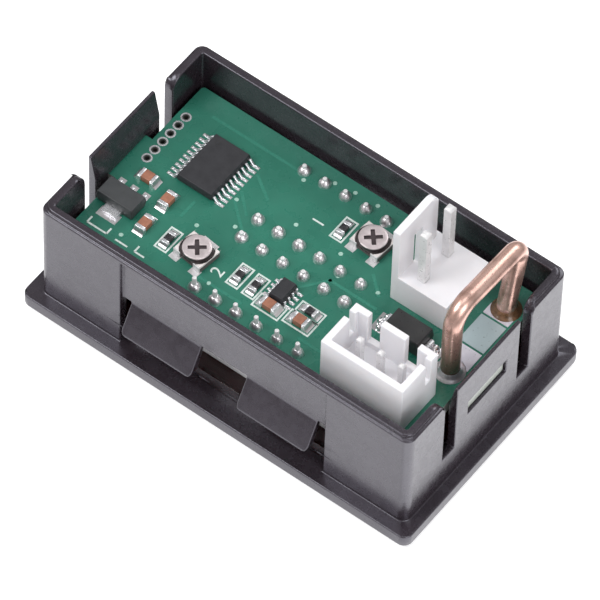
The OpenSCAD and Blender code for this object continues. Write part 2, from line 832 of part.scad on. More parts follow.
// Square pin with a pyramid tip, from below the board to its height over it
module square_pin(side, h) {
    translate([0, 0, board_front_z - pin_tail]) block([side, side, pin_tail + board_t + h - tip_chamfer]);
    translate([0, 0, board_z + h - tip_chamfer])
        rotate([0, 0, 45]) cylinder(h = tip_chamfer, r1 = side / sqrt(2), r2 = (side / 2 - tip_chamfer) * sqrt(2), $fn = 4);
}

// Solder under the board round a square pin
module pin_solder(side, r) {
    translate([0, 0, board_front_z - header_solder_h]) difference() {
        cylinder(h = header_solder_h, r1 = side * 0.75, r2 = r, $fn = 24);
        translate([0, 0, -through]) block([side, side, header_solder_h + 2 * through]);
    }
}

// Open box that shrouds the signal pins, with key slots in its back wall
module signal_header_shroud() {
    inner = [signal_size[0] - 2 * signal_wall, signal_size[1] - 2 * signal_wall];
    top = signal_size[2];
    key_y = signal_size[1] / 2;
    color([0.9, 0.89, 0.9]) difference() {
        translate([signal_at[0], signal_at[1], board_z]) difference() {
            block(signal_size);
            translate([0, 0, signal_floor]) block([inner[0], inner[1], top]);
            for (side = [-1, 1]) {
                translate([side * key_slot_pitch / 2, key_y, top - key_slot_h])
                    block([key_slot_w, 4 * signal_wall, top]);
                translate([side * signal_size[0] / 2, key_y - signal_wall - relief_slot_w, top - relief_slot_h])
                    block([4 * signal_wall, relief_slot_w, top]);
            }
        }
        at_signal_pins() translate([0, 0, board_z - through]) block([signal_pin, signal_pin, top]);
    }
}

module signal_header_pins() {
    color([0.85, 0.84, 0.8]) at_signal_pins() square_pin(signal_pin, signal_pin_h);
}

module signal_header_solder() {
    color([0.82, 0.82, 0.84]) at_signal_pins() pin_solder(signal_pin, signal_solder_r);
}

// Base with the tall locking plate on its inner side; the plate's slot goes on down into the base
module power_header_body() {
    edge_x = -power_base[0] / 2;
    lock_y = (lock_w - power_base[1]) / 2;
    slot_z = power_base[2] - lock_slot_sink;
    slot_l = through + lock_t + lock_pocket;
    color([0.9, 0.89, 0.9]) difference() {
        translate([power_at[0], power_at[1], board_z]) difference() {
            union() {
                block(power_base);
                translate([edge_x + lock_t / 2, lock_y, 0]) along_x(lock_t) {
                    translate([-lock_w / 2, 0]) square([lock_w, lock_h - lock_r]);
                    translate([-lock_w / 2, 0]) square([lock_w - lock_r, lock_h]);
                    translate([lock_w / 2 - lock_r, lock_h - lock_r]) circle(r = lock_r);
                }
            }
            translate([edge_x - through + slot_l / 2, lock_y, slot_z])
                block([slot_l, lock_slot_w, lock_h - lock_bridge_h - slot_z]);
        }
        at_power_pins() translate([0, 0, board_z - through]) block([power_pin, power_pin, lock_h]);
    }
}

module power_header_pins() {
    color([0.85, 0.84, 0.8]) at_power_pins() square_pin(power_pin, power_pin_h);
}

module power_header_solder() {
    color([0.82, 0.82, 0.84]) at_power_pins() pin_solder(power_pin, power_solder_r);
}

// ---------------------------------------------------------------- shunt

// Straight stretch of wire along the heading; children go on from its end
module wire_run(l) {
    translate([0, 0, -run_in]) cylinder(h = l + 2 * run_in, r = shunt_r - run_slim, $fn = 32);
    translate([0, 0, l]) children();
}

// Bend of the wire towards +Y, or away from it where the angle is negative
module wire_bend(r, angle) {
    side = angle > 0 ? 1 : -1;
    translate([0, side * r, 0]) {
        rotate([90, 0, -90 * side])
            rotate_extrude(angle = abs(angle), $fn = 64) translate([r, 0]) circle(r = shunt_r, $fn = 32);
        rotate([-angle, 0, 0]) translate([0, -side * r, 0]) children();
    }
}

// Bent copper wire from its front foot over the top to its back foot
module shunt_wire() {
    tail = board_t + shunt_tail;
    color([0.72, 0.45, 0.33]) translate([shunt_at[0], shunt_at[1], board_z - tail])
        wire_run(tail + shunt_leg_h)
        wire_bend(front_bend_r, top_heading)
        wire_run(top_run_l)
        wire_bend(back_bend_r, leg_heading - top_heading)
        wire_run(back_leg_l)
        wire_bend(foot_bend_r, -back_lean)
        wire_run(foot_h + tail);
}

// Solder collar round each foot of the shunt
module shunt_solder() {
    color([0.8, 0.78, 0.76]) at_shunt_feet() translate([0, 0, board_z]) rotate_extrude() polygon([
        [shunt_r, 0],
        [shunt_solder_r, 0],
        [shunt_r + 0.35, shunt_solder_h * 0.4],
        [shunt_r, shunt_solder_h]
    ]);
}

// ---------------------------------------------------------------- small parts

module diode_body() {
    color([0.12, 0.12, 0.13])
        translate([diode_at[0], diode_at[1], board_z + diode_tab_t]) chip_body(diode_body_size);
}

// Folded strip at each end of the diode
module diode_terminals() {
    x = diode_body_size[0] / 2;
    color([0.82, 0.82, 0.84]) translate([diode_at[0], diode_at[1], board_z])
        both_ends() along_y(diode_tab_w) polygon([
            [x - diode_tab_l - 0.3, 0],
            [x + diode_tab_l, 0],
            [x + diode_tab_l, diode_tab_h + diode_tab_t],
            [x, diode_tab_h + diode_tab_t],
            [x, diode_tab_h],
            [x + diode_tab_l - diode_tab_t, diode_tab_h],
            [x + diode_tab_l - diode_tab_t, diode_tab_t],
            [x - diode_tab_l - 0.3, diode_tab_t]
        ]);
}

// Middle of a two-ended part, between its metal ends
module part_middles(parts, l, w, h) {
    for (p = parts) translate([p[0], p[1], board_z]) rotate([0, 0, p[2]]) block([l - 2 * end_l, w, h]);
}

// Metal ends of two-ended parts
module part_ends(parts, l, w, h) {
    for (p = parts) translate([p[0], p[1], board_z]) rotate([0, 0, p[2]])
        both_ends() translate([(l - end_l) / 2, 0, 0]) block([end_l, w, h]);
}

module capacitor_bodies() {
    color([0.6, 0.42, 0.35]) part_middles(capacitors, capacitor_l, capacitor_w, capacitor_h);
}

module capacitor_ends() {
    color([0.85, 0.85, 0.86]) part_ends(capacitors, capacitor_l, capacitor_w, capacitor_h);
}

module resistor_bodies() {
    color([0.15, 0.15, 0.16]) part_middles(resistors, resistor_l, resistor_w, resistor_h);
}

module resistor_ends() {
    color([0.85, 0.85, 0.86]) part_ends(resistors, resistor_l, resistor_w, resistor_h);
}

// ---------------------------------------------------------------- nodes

housing();
display_lens();
circuit_board();
tinned_lands();
display_shell(display_y[0]);  // upper_display_shell
display_segments(display_y[0]);  // upper_display_segments
display_pins(display_y[0], 0);  // upper_display_pins
display_solder(display_y[0]);  // upper_display_solder
display_shell(display_y[1]);  // lower_display_shell
display_segments(display_y[1]);  // lower_display_segments
display_pins(display_y[1], -1);  // lower_display_pins
display_solder(display_y[1]);  // lower_display_solder
microcontroller_body();
microcontroller_leads();
amplifier_body();
amplifier_leads();
regulator_body();
regulator_leads();
trimmer_base_solid(voltage_trimmer_at, voltage_trimmer_turn);  // voltage_trimmer_base
trimmer_terminals(voltage_trimmer_at, voltage_trimmer_turn);  // voltage_trimmer_terminals
trimmer_rotor(voltage_trimmer_at, voltage_trimmer_turn);  // voltage_trimmer_rotor
trimmer_base_solid(current_trimmer_at, current_trimmer_turn);  // current_trimmer_base
trimmer_terminals(current_trimmer_at, current_trimmer_turn);  // current_trimmer_terminals
trimmer_rotor(current_trimmer_at, current_trimmer_turn);  // current_trimmer_rotor
signal_header_shroud();
signal_header_pins();
signal_header_solder();
power_header_body();
power_header_pins();
power_header_solder();
shunt_wire();
shunt_solder();
diode_body();
diode_terminals();
capacitor_bodies();
capacitor_ends();
resistor_bodies();
resistor_ends();
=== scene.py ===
"""Looks of a digital panel meter that lies face down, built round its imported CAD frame.

Lengths are in millimetres and MM turns them into metres where a mesh is finished. X runs along
the long side, Y across it and Z up, from the front face towards the wiring side.
"""

from __future__ import annotations

import logging
import math
from dataclasses import dataclass, field
from enum import Enum
from functools import lru_cache
from typing import Sequence

import bmesh
import bpy
from mathutils import Matrix, Vector


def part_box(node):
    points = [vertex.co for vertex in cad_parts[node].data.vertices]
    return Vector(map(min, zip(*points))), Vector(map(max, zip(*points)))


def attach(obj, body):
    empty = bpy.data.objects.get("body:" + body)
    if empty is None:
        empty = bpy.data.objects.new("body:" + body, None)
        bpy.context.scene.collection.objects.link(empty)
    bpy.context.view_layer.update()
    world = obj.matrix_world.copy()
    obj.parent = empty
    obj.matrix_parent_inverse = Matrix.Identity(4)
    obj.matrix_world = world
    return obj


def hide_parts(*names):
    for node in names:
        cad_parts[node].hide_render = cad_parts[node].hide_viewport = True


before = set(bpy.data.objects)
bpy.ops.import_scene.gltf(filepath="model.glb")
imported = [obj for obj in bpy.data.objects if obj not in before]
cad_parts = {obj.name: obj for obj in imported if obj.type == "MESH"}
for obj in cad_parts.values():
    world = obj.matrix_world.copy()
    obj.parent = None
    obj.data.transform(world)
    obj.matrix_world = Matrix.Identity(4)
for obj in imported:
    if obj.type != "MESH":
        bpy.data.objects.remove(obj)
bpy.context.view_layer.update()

MM = 0.001
METER = "meter"
LOG = logging.getLogger("panel_meter")

Colour = tuple[float, float, float]
Place = tuple[float, float, float]
Point = tuple[float, float]
Points = tuple[Point, ...]
Pairs = tuple[tuple[Point, Point], ...]
Socket = bpy.types.NodeSocket
Draft = bmesh.types.BMesh
Piece = bpy.types.Object


class Slot(Enum):
    """Names of material slots."""

    CASE = "case_plastic"
    LENS = "tinted_lens"
    BOARD = "board_green"
    TIN = "bright_tin"
    DISPLAY = "display_plastic"
    SOLDER = "solder"
    PIN = "pin_metal"
    ROTOR = "rotor_metal"
    TRIMMER = "trimmer_ceramic"
    CHIP = "chip_epoxy"
    HEADER = "header_nylon"
    COPPER = "shunt_copper"
    CAPACITOR = "capacitor_ceramic"
    RESISTOR = "resistor_black"


# ---- places taken from the frame


@dataclass(frozen=True)
class Span:
    """Box of a CAD node, in millimetres."""

    low: Vector
    high: Vector

    @classmethod
    def of(cls, node: str) -> "Span":
        """Reads the box of a CAD node."""
        low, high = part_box(node)
        return cls(low / MM, high / MM)

    @property
    def middle(self) -> Vector:
        """Middle of the box."""
        return (self.low + self.high) / 2

    @property
    def size(self) -> Vector:
        """Lengths of the box along X, Y and Z."""
        return self.high - self.low


BOARD = Span.of("circuit_board")
BOARD_TOP = BOARD.high.z
INK_T = 0.015
PAD_T = 0.04
WELD = 1e-4
CAD_WELD = 2e-4
FLAT_ANGLE = 0.8
FACE_WEIGHT = 80


# ---- material helpers


class Tree:
    """Writes nodes in the node tree of a material or of the world."""

    def __init__(self, tree: bpy.types.NodeTree) -> None:
        """Takes the tree to write in."""
        self.tree = tree

    def add(self, kind: str) -> bpy.types.Node:
        """Adds a node of a kind."""
        return self.tree.nodes.new(kind)

    def link(self, source: Socket, target: Socket) -> None:
        """Joins two sockets."""
        self.tree.links.new(source, target)

    def ranged(self, source: Socket, low: float, high: float, start: float = 0.3, end: float = 0.7) -> Socket:
        """Spreads a factor between two values.

        Args:
            source: factor to read.
            low: result at and below start.
            high: result at and above end.
            start: factor that gives low.
            end: factor that gives high.

        Returns:
            The value's socket.
        """
        node = self.add("ShaderNodeMapRange")
        for name, number in (("From Min", start), ("From Max", end), ("To Min", low), ("To Max", high)):
            node.inputs[name].default_value = number
        self.link(source, node.inputs["Value"])
        return node.outputs["Result"]

    def join(self, operation: str, first: Socket, second: Socket) -> Socket:
        """Joins two factors.

        Args:
            operation: MULTIPLY, MAXIMUM or another name of the maths node.
            first: factor.
            second: factor.

        Returns:
            The result's socket.
        """
        node = self.add("ShaderNodeMath")
        node.operation = operation
        self.link(first, node.inputs[0])
        self.link(second, node.inputs[1])
        return node.outputs[0]

    def by_ray(self, strengths: Sequence[tuple[str, float]], base: float) -> Socket:
        """Gives a strength that depends on what kind of ray looks.

        Args:
            strengths: each kind of ray and the strength that it meets.
            base: strength for every other ray.

        Returns:
            The strength's socket.
        """
        path = self.add("ShaderNodeLightPath")
        total = None
        for kind, strength in strengths:
            step = self.add("ShaderNodeMath")
            step.operation = "MULTIPLY_ADD"
            self.link(path.outputs[kind], step.inputs[0])
            step.inputs[1].default_value = strength - base
            step.inputs[2].default_value = base
            if total is not None:
                self.link(total, step.inputs[2])
            total = step.outputs[0]
        return total


class Recipe(Tree):
    """Writes one procedural material in object coordinates."""

    def __init__(self, name: str, shader: str = "ShaderNodeBsdfPrincipled") -> None:
        """Starts a material with one shader on its surface.

        Args:
            name: name of the material.
            shader: kind of the shader's node.
        """
        self.material = bpy.data.materials.new(name)
        self.material.use_nodes = True
        super().__init__(self.material.node_tree)
        self.tree.nodes.clear()
        self.shader = self.add(shader)
        self.link(self.shader.outputs[0], self.add("ShaderNodeOutputMaterial").inputs["Surface"])
        self.place = self.add("ShaderNodeTexCoord").outputs["Object"]

    def noise(self, per_mm: float, detail: float = 2.0, stretch: tuple = (1, 1, 1)) -> Socket:
        """Adds cloudy noise.

        Args:
            per_mm: blotches in a millimetre.
            detail: octaves of finer noise.
            stretch: scale along each axis before the noise is read.

        Returns:
            The noise's factor, about 0.5 in the mean.
        """
        mapping = self.add("ShaderNodeMapping")
        mapping.inputs["Scale"].default_value = stretch
        self.link(self.place, mapping.inputs["Vector"])
        texture = self.add("ShaderNodeTexNoise")
        texture.inputs["Scale"].default_value = per_mm / MM
        texture.inputs["Detail"].default_value = detail
        self.link(mapping.outputs["Vector"], texture.inputs["Vector"])
        return texture.outputs["Fac"]

    def blend(self, factor: Socket, first: Colour | Socket, second: Colour | Socket) -> Socket:
        """Mixes two colours by a factor.

        Args:
            factor: 0 gives the first colour, 1 the second.
            first: colour or socket.
            second: colour or socket.

        Returns:
            The mixed colour's socket.
        """
        node = self.add("ShaderNodeMix")
        node.data_type = "RGBA"
        self.link(factor, node.inputs[0])
        for index, colour in ((6, first), (7, second)):
            if isinstance(colour, tuple):
                node.inputs[index].default_value = (*colour, 1.0)
            else:
                self.link(colour, node.inputs[index])
        return node.outputs[2]

    def axis(self, name: str, socket: str = "Object") -> Socket:
        """Reads one axis of the surface's own place or normal.

        Args:
            name: X, Y or Z.
            socket: Object or Normal, as the texture coordinates name them.

        Returns:
            The number's socket.
        """
        split = self.add("ShaderNodeSeparateXYZ")
        self.link(self.add("ShaderNodeTexCoord").outputs[socket], split.inputs["Vector"])
        return split.outputs[name]


@dataclass(frozen=True)
class Finish:
    """A surface finish: two shades that mottle, a spread of roughness and a fine grain.

    Mottle and grain count blotches in a millimetre.
    """

    name: str
    shade: Colour
    second: Colour
    roughness: float
    roughness_spread: float = 0.08
    mottle: float = 0.4
    grain: float = 9.0
    grain_depth: float = 0.002
    grain_strength: float = 0.6
    metallic: float = 0.0
    ior: float = 1.5
    coat: float = 0.0
    coat_roughness: float = 0.1
    transmission: float = 0.0
    subsurface: float = 0.0
    subsurface_depth: float = 0.6
    subsurface_radius: Colour = (1.0, 0.9, 0.85)
    specular_tint: Colour = (1.0, 1.0, 1.0)

    def colour(self, recipe: Recipe) -> Socket:
        """Writes the colour part of the material and returns its socket."""
        factor = recipe.ranged(recipe.noise(self.mottle, 3.0), 0.0, 1.0)
        return recipe.blend(factor, self.shade, self.second)

    def build(self) -> bpy.types.Material:
        """Makes the material."""
        recipe = Recipe(self.name)
        recipe.link(self.colour(recipe), recipe.shader.inputs["Base Color"])
        low = max(self.roughness - self.roughness_spread, 0.02)
        high = self.roughness + self.roughness_spread
        rough = recipe.ranged(recipe.noise(self.mottle * 3, 3.0), low, high)
        recipe.link(rough, recipe.shader.inputs["Roughness"])
        relief = recipe.add("ShaderNodeBump")
        relief.inputs["Distance"].default_value = self.grain_depth * MM
        relief.inputs["Strength"].default_value = self.grain_strength
        recipe.link(recipe.noise(self.grain, 2.0), relief.inputs["Height"])
        recipe.link(relief.outputs["Normal"], recipe.shader.inputs["Normal"])
        values = {
            "Metallic": self.metallic, "IOR": self.ior, "Specular Tint": (*self.specular_tint, 1.0),
            "Coat Weight": self.coat, "Coat Roughness": self.coat_roughness,
            "Transmission Weight": self.transmission,
        }
        if self.subsurface:
            values["Subsurface Weight"] = self.subsurface
            values["Subsurface Scale"] = self.subsurface_depth * MM
            values["Subsurface Radius"] = self.subsurface_radius
        for socket, value in values.items():
            recipe.shader.inputs[socket].default_value = value
        return recipe.material


@dataclass(frozen=True)
class TwoFaced(Finish):
    """A finish whose faces across Z have their own colour, such as a board and its edge."""

    side: Colour = (0.5, 0.5, 0.45)
    only_front: bool = False

    def colour(self, recipe: Recipe) -> Socket:
        """Mixes the side's colour with the faces' colour by the normal's Z.

        Args:
            recipe: the material to write in.

        Returns:
            The colour's socket.
        """
        faces = super().colour(recipe)
        lean = recipe.axis("Z", "Normal")
        if self.only_front:
            flat = recipe.ranged(lean, 1.0, 0.0, -0.9, -0.6)
        else:
            absolute = recipe.add("ShaderNodeMath")
            absolute.operation = "ABSOLUTE"
            recipe.link(lean, absolute.inputs[0])
            flat = recipe.ranged(absolute.outputs[0], 0.0, 1.0, 0.6, 0.9)
        return recipe.blend(flat, self.side, faces)


@dataclass(frozen=True)
class PaintedShadeBelow(Finish):
    """A finish with painted shade below a level, as in slots and under a rim."""

    # painted shade: the dark colour below the level stands for shade in the recess
    painted_shade: Colour = (0.05, 0.05, 0.05)
    level: float = 0.0
    fade: float = 0.06

    def colour(self, recipe: Recipe) -> Socket:
        """Mixes the painted shade of the depth with the mottled shades by the height.

        Args:
            recipe: the material to write in.

        Returns:
            The colour's socket.
        """
        top = super().colour(recipe)
        height = recipe.ranged(recipe.axis("Z"), 0.0, 1.0, (self.level - self.fade) * MM, self.level * MM)
        return recipe.blend(height, self.painted_shade, top)


@dataclass(frozen=True)
class Drawn(Finish):
    """Drawn wire: fine streaks along it, darker tarnish in patches, and darker towards the bottom of the
    front leg.
    """

    dark_copper: Colour = (0.2, 0.1, 0.06)
    tarnish_share: float = 0.4
    streaks: float = 4.0
    foot_low: float = 11.6
    foot_high: float = 18.5
    foot_end: float = 0.0
    foot_share: float = 0.85

    def colour(self, recipe: Recipe) -> Socket:
        """Streaks the metal and lays the dark copper colour over it, in patches and lower down the front leg.

        Args:
            recipe: the material to write in.

        Returns:
            The colour's socket.
        """
        streaks = recipe.noise(self.streaks, 3.0, (1.0, 0.06, 0.06))
        metal = recipe.blend(recipe.ranged(streaks, 0.0, 1.0, 0.35, 0.65), self.shade, self.second)
        patches = recipe.ranged(recipe.noise(0.5, 3.0), 0.0, self.tarnish_share, 0.5, 0.75)
        # darker towards the bottom of the front leg, near its foot
        low = recipe.ranged(recipe.axis("Z"), self.foot_share, 0.0, self.foot_low * MM, self.foot_high * MM)
        front = recipe.ranged(recipe.axis("Y"), 1.0, 0.0, self.foot_end * MM, (self.foot_end + 1.0) * MM)
        factor = recipe.join("MAXIMUM", patches, recipe.join("MULTIPLY", low, front))
        return recipe.blend(factor, metal, self.dark_copper)


@dataclass(frozen=True)
class Banded(Finish):
    """A finish with another colour between two places along Y."""

    band: Colour = (0.46, 0.57, 0.60)
    start: float = 0.0
    end: float = 1.0
    blur: float = 0.05

    def colour(self, recipe: Recipe) -> Socket:
        """Lays the band's colour over the mottled shades.

        Args:
            recipe: the material to write in.

        Returns:
            The colour's socket.
        """
        ends = super().colour(recipe)
        along = recipe.axis("Y")
        after = recipe.ranged(along, 0.0, 1.0, self.start * MM, (self.start + self.blur) * MM)
        before = recipe.ranged(along, 1.0, 0.0, self.end * MM, (self.end + self.blur) * MM)
        return recipe.blend(recipe.join("MULTIPLY", after, before), ends, self.band)


BLACK_PLASTIC = Finish(
    "black_plastic", (0.023, 0.0165, 0.0215), (0.031, 0.0235, 0.03), 0.27, 0.04, grain=5.0,
    grain_depth=0.001, ior=1.85, specular_tint=(0.88, 0.88, 1.0))
DARK_LENS = Finish(
    "tinted_lens", (0.14, 0.012, 0.014), (0.12, 0.01, 0.012), 0.06, 0.03, grain_depth=0.001, ior=1.49,
    transmission=0.92)
SOLDER_MASK = TwoFaced(
    "green_solder_mask", (0.028, 0.185, 0.128), (0.021, 0.15, 0.104), 0.3, mottle=0.22, grain=14.0,
    side=(0.42, 0.45, 0.41))
TRACE_MASK = Finish("mask_over_copper", (0.036, 0.215, 0.152), (0.03, 0.19, 0.134), 0.28, grain=14.0)
SILK_INK = Finish("silk_ink", (0.74, 0.79, 0.77), (0.5, 0.6, 0.56), 0.6, 0.1, mottle=4.0, grain=20.0)
BRIGHT_TIN = Finish(
    "bright_tin", (0.88, 0.88, 0.9), (0.74, 0.75, 0.79), 0.28, mottle=1.5, grain=6.0, metallic=0.75)
SOLDER = Finish(
    "solder", (0.95, 0.93, 0.94), (0.8, 0.77, 0.79), 0.34, 0.05, mottle=1.5, grain=3.0, grain_depth=0.003,
    metallic=0.95)
TENTED_VIA = Finish("tented_via", (0.42, 0.62, 0.54), (0.3, 0.5, 0.42), 0.35, mottle=2.0)
WET_SOLDER = Finish(
    "wet_solder", (0.97, 0.96, 0.97), (0.86, 0.84, 0.86), 0.12, 0.04, mottle=1.5, grain=3.0,
    grain_depth=0.004, metallic=1.0)
# Near black on the hole barrels: painted shade inside the programming holes.
SHADED_HOLE = Finish("painted_hole_shade", (0.05, 0.055, 0.05), (0.035, 0.04, 0.036), 0.5, 0.1)
BURNT_FLUX = Finish(
    "burnt_flux", (0.1, 0.055, 0.028), (0.23, 0.12, 0.06), 0.32, 0.12, mottle=2.0, grain=3.0,
    grain_depth=0.015, coat=0.5)
PIN_TIN = Finish(
    "pin_tin", (0.86, 0.85, 0.86), (0.76, 0.75, 0.76), 0.32, 0.06, mottle=1.2, grain=6.0, metallic=0.25)
WHITE_NYLON = Finish(
    "white_nylon", (0.85, 0.84, 0.865), (0.81, 0.8, 0.83), 0.38, 0.06, mottle=0.3, grain=6.0, ior=1.53,
    subsurface=0.35)
CHIP_EPOXY = Finish(
    "chip_epoxy", (0.021, 0.021, 0.025), (0.031, 0.031, 0.036), 0.48, mottle=1.0, grain=16.0,
    grain_depth=0.005)
# The chip epoxy made lighter over the whole regulator body: the extra lightness is a painted highlight.
LIT_REGULATOR_EPOXY = Finish(
    "regulator_epoxy_painted_highlight", (0.044, 0.047, 0.05), (0.056, 0.06, 0.063), 0.42, mottle=1.0, grain=16.0,
    grain_depth=0.005)
DIODE_EPOXY = Finish(
    "diode_epoxy", (0.02, 0.02, 0.021), (0.03, 0.03, 0.031), 0.35, mottle=1.0, grain=14.0,
    grain_depth=0.004)
COPPER_WIRE = Drawn(
    "drawn_copper", (0.92, 0.62, 0.53), (0.78, 0.48, 0.4), 0.3, 0.05, mottle=0.7, grain=3.0, metallic=0.75,
    dark_copper=(0.15, 0.075, 0.05), tarnish_share=0.6)
# The rotor's slot floors get painted shade below the level.
ROTOR_METAL = PaintedShadeBelow(
    "rotor_metal", (0.8, 0.71, 0.72), (0.66, 0.58, 0.59), 0.36, mottle=1.5, grain=12.0, grain_depth=0.003,
    metallic=0.6, painted_shade=(0.1, 0.08, 0.085), level=Span.of("voltage_trimmer_rotor").high.z - 0.08)
# The base's recess round the rotor gets painted shade, a dark crescent below the level.
TRIMMER_CERAMIC = PaintedShadeBelow(
    "trimmer_ceramic", (0.78, 0.74, 0.73), (0.66, 0.61, 0.6), 0.5, 0.1, mottle=1.5, grain=14.0,
    grain_depth=0.004, painted_shade=(0.12, 0.1, 0.1), level=Span.of("voltage_trimmer_base").high.z - 0.15)
TRIMMER_TIN = Finish(
    "trimmer_tin", (0.8, 0.79, 0.8), (0.66, 0.65, 0.66), 0.45, mottle=1.5, grain=6.0, metallic=0.5)
CAPACITOR_CERAMIC = Finish(
    "capacitor_ceramic", (0.4, 0.17, 0.105), (0.29, 0.12, 0.075), 0.4, 0.1, mottle=2.0, grain=16.0,
    grain_depth=0.003)
RESISTOR_GLAZE = Finish(
    "resistor_glaze", (0.024, 0.023, 0.026), (0.036, 0.034, 0.038), 0.3, 0.1, mottle=2.0, grain=16.0,
    grain_depth=0.003)
DISPLAY_PLASTIC = TwoFaced(
    "display_plastic", (0.045, 0.045, 0.05), (0.055, 0.055, 0.06), 0.5, 0.1, mottle=0.5,
    side=(0.72, 0.71, 0.73), only_front=True, grain_depth=0.004)
SEGMENT_RESIN = Finish(
    "segment_resin", (0.7, 0.68, 0.66), (0.62, 0.6, 0.58), 0.45, mottle=1.0, subsurface=0.2,
    grain_depth=0.004)


@lru_cache(maxsize=None)
def material_of(finish: Finish) -> bpy.types.Material:
    """Builds the material of a finish once and returns it each time."""
    return finish.build()


# ---- mesh helpers


def show(piece: Piece, finish: Finish, nodes: Sequence[str] = (), body: str = METER) -> None:
    """Finishes a piece, puts it on its body and hides the CAD nodes it replaces.

    Args:
        piece: object whose mesh is in place.
        finish: its finish.
        nodes: CAD nodes that it replaces.
        body: body that it rides on.
    """
    piece.data.materials.clear()
    piece.data.materials.append(material_of(finish))
    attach(piece, body)
    if nodes:
        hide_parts(*nodes)
    LOG.info("%s: %d faces, stands for %s", piece.name, len(piece.data.polygons), ", ".join(nodes) or "none")


def dress(node: str, finish: Finish) -> None:
    """Gives a CAD node that stays in view its finish.

    Args:
        node: name of the node.
        finish: its finish.
    """
    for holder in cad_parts[node].material_slots:
        holder.material = material_of(finish)
    LOG.info("%s: stays, as %s", node, finish.name)


def link_mesh(mesh: bpy.types.Mesh, name: str) -> Piece:
    """Puts a mesh into the scene as a smooth-shaded object.

    Args:
        mesh: the mesh, in metres.
        name: name of the piece.

    Returns:
        The object.
    """
    for face in mesh.polygons:
        face.use_smooth = True
    piece = bpy.data.objects.new(name, mesh)
    bpy.context.scene.collection.objects.link(piece)
    return piece


def finish_mesh(work: Draft, name: str, crease: float = 32.0) -> Piece:
    """Closes a mesh drawn in millimetres and turns it into an object in metres.

    Args:
        work: mesh, freed here.
        name: name of the piece.
        crease: angle in degrees above which an edge stays sharp.

    Returns:
        The object.
    """
    bmesh.ops.remove_doubles(work, verts=work.verts, dist=WELD)
    bmesh.ops.recalc_face_normals(work, faces=work.faces)
    bmesh.ops.scale(work, vec=(MM, MM, MM), verts=work.verts)
    mesh = bpy.data.meshes.new(name)
    work.to_mesh(mesh)
    work.free()
    piece = link_mesh(mesh, name)
    mesh.set_sharp_from_angle(angle=math.radians(crease))
    return piece


def show_rounded(node: str, name: str, width: float, finish: Finish, segments: int = 2,
                 angle: float = 35.0, body: str = METER) -> None:
    """Replaces a CAD node by its own shape with the edges rounded over.

    Args:
        node: CAD node to copy and replace.
        name: name of the piece.
        width: width of the rounding.
        finish: its finish.
        segments: steps across the rounding.
        angle: edges that turn by less, in degrees, stay as they are.
        body: body that it rides on.
    """
    work = bmesh.new()
    work.from_mesh(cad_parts[node].data)
    bmesh.ops.remove_doubles(work, verts=work.verts, dist=CAD_WELD * MM)
    bmesh.ops.dissolve_limit(work, angle_limit=math.radians(FLAT_ANGLE), verts=work.verts, edges=work.edges)
    bmesh.ops.connect_verts_concave(work, faces=work.faces)
    bmesh.ops.recalc_face_normals(work, faces=work.faces)
    mesh = bpy.data.meshes.new(name)
    work.to_mesh(mesh)
    work.free()
    piece = link_mesh(mesh, name)
    bevel = piece.modifiers.new("rounded_edges", "BEVEL")
    bevel.width = width * MM
    bevel.segments = segments
    bevel.limit_method = "ANGLE"
    bevel.angle_limit = math.radians(angle)
    bevel.use_clamp_overlap = False
    weighted = piece.modifiers.new("flat_faces", "WEIGHTED_NORMAL")
    weighted.weight = FACE_WEIGHT
    show(piece, finish, [node], body)


def add_plate(work: Draft, at: Sequence[float], size: Point, thick: float = PAD_T, turn: float = 0.0) -> None:
    """Adds a flat plate that lies on the board.

    Args:
        work: mesh to add to.
        at: its middle, from above.
        size: its lengths.
        thick: its thickness.
        turn: its turn round Z, in degrees.
    """
    place = Matrix.Translation((*at, BOARD_TOP + thick / 2)) @ Matrix.Rotation(math.radians(turn), 4, "Z")
    bmesh.ops.create_cube(work, size=1.0, matrix=place @ Matrix.Diagonal((*size, thick, 1)))


def add_turned(work: Draft, at: Sequence[float], profile: Sequence[Point], steps: int = 20) -> None:
    """Turns a profile round an upright axis.

    Args:
        work: mesh to add to.
        at: foot of the axis.
        profile: radius and height of each point, from one end to the other.
        steps: faces round the axis.
    """
    verts = [work.verts.new((at[0] + radius, at[1], at[2] + height)) for radius, height in profile]
    edges = [work.edges.new(pair) for pair in zip(verts, verts[1:])]
    bmesh.ops.spin(work, geom=verts + edges, cent=at, axis=(0, 0, 1), angle=2 * math.pi, steps=steps,
                   use_merge=True, use_duplicate=False)


def add_ring(work: Draft, at: Point, inner: float, outer: float, low: float, high: float) -> None:
    """Adds a flat ring between two heights."""
    profile = [(inner, low), (outer, low), (outer, high), (inner, high), (inner, low)]
    add_turned(work, (*at, 0.0), profile)


def add_plates(work: Draft, middle: Vector, plates: Pairs, thick: float = PAD_T, turn: float = 0.0) -> None:
    """Adds plates round the middle of a part.

    Args:
        work: mesh to add to.
        middle: middle of the part, from above.
        plates: place and size of each plate, before the turn.
        thick: their thickness.
        turn: the part's turn, in degrees.
    """
    spin = Matrix.Rotation(math.radians(turn), 2)
    for place, size in plates:
        add_plate(work, middle + spin @ Vector(place), size, thick, turn)


def spread(index: int, share: float) -> float:
    """A factor near 1 that differs from piece to piece by up to the share."""
    return 1.0 + share * math.sin(index * 2.399 + 0.7)


# ---- case


@dataclass
class Case:
    """The moulded housing and the tinted lens behind its window."""

    edge_round: float = 0.16
    bend_angle: float = 19.0
    lens_round: float = 0.08

    def build(self) -> None:
        """Makes the pieces."""
        show_rounded("housing", "moulded_housing", self.edge_round, BLACK_PLASTIC,
                     angle=self.bend_angle)
        show_rounded("display_lens", "lens", self.lens_round, DARK_LENS)


# ---- board


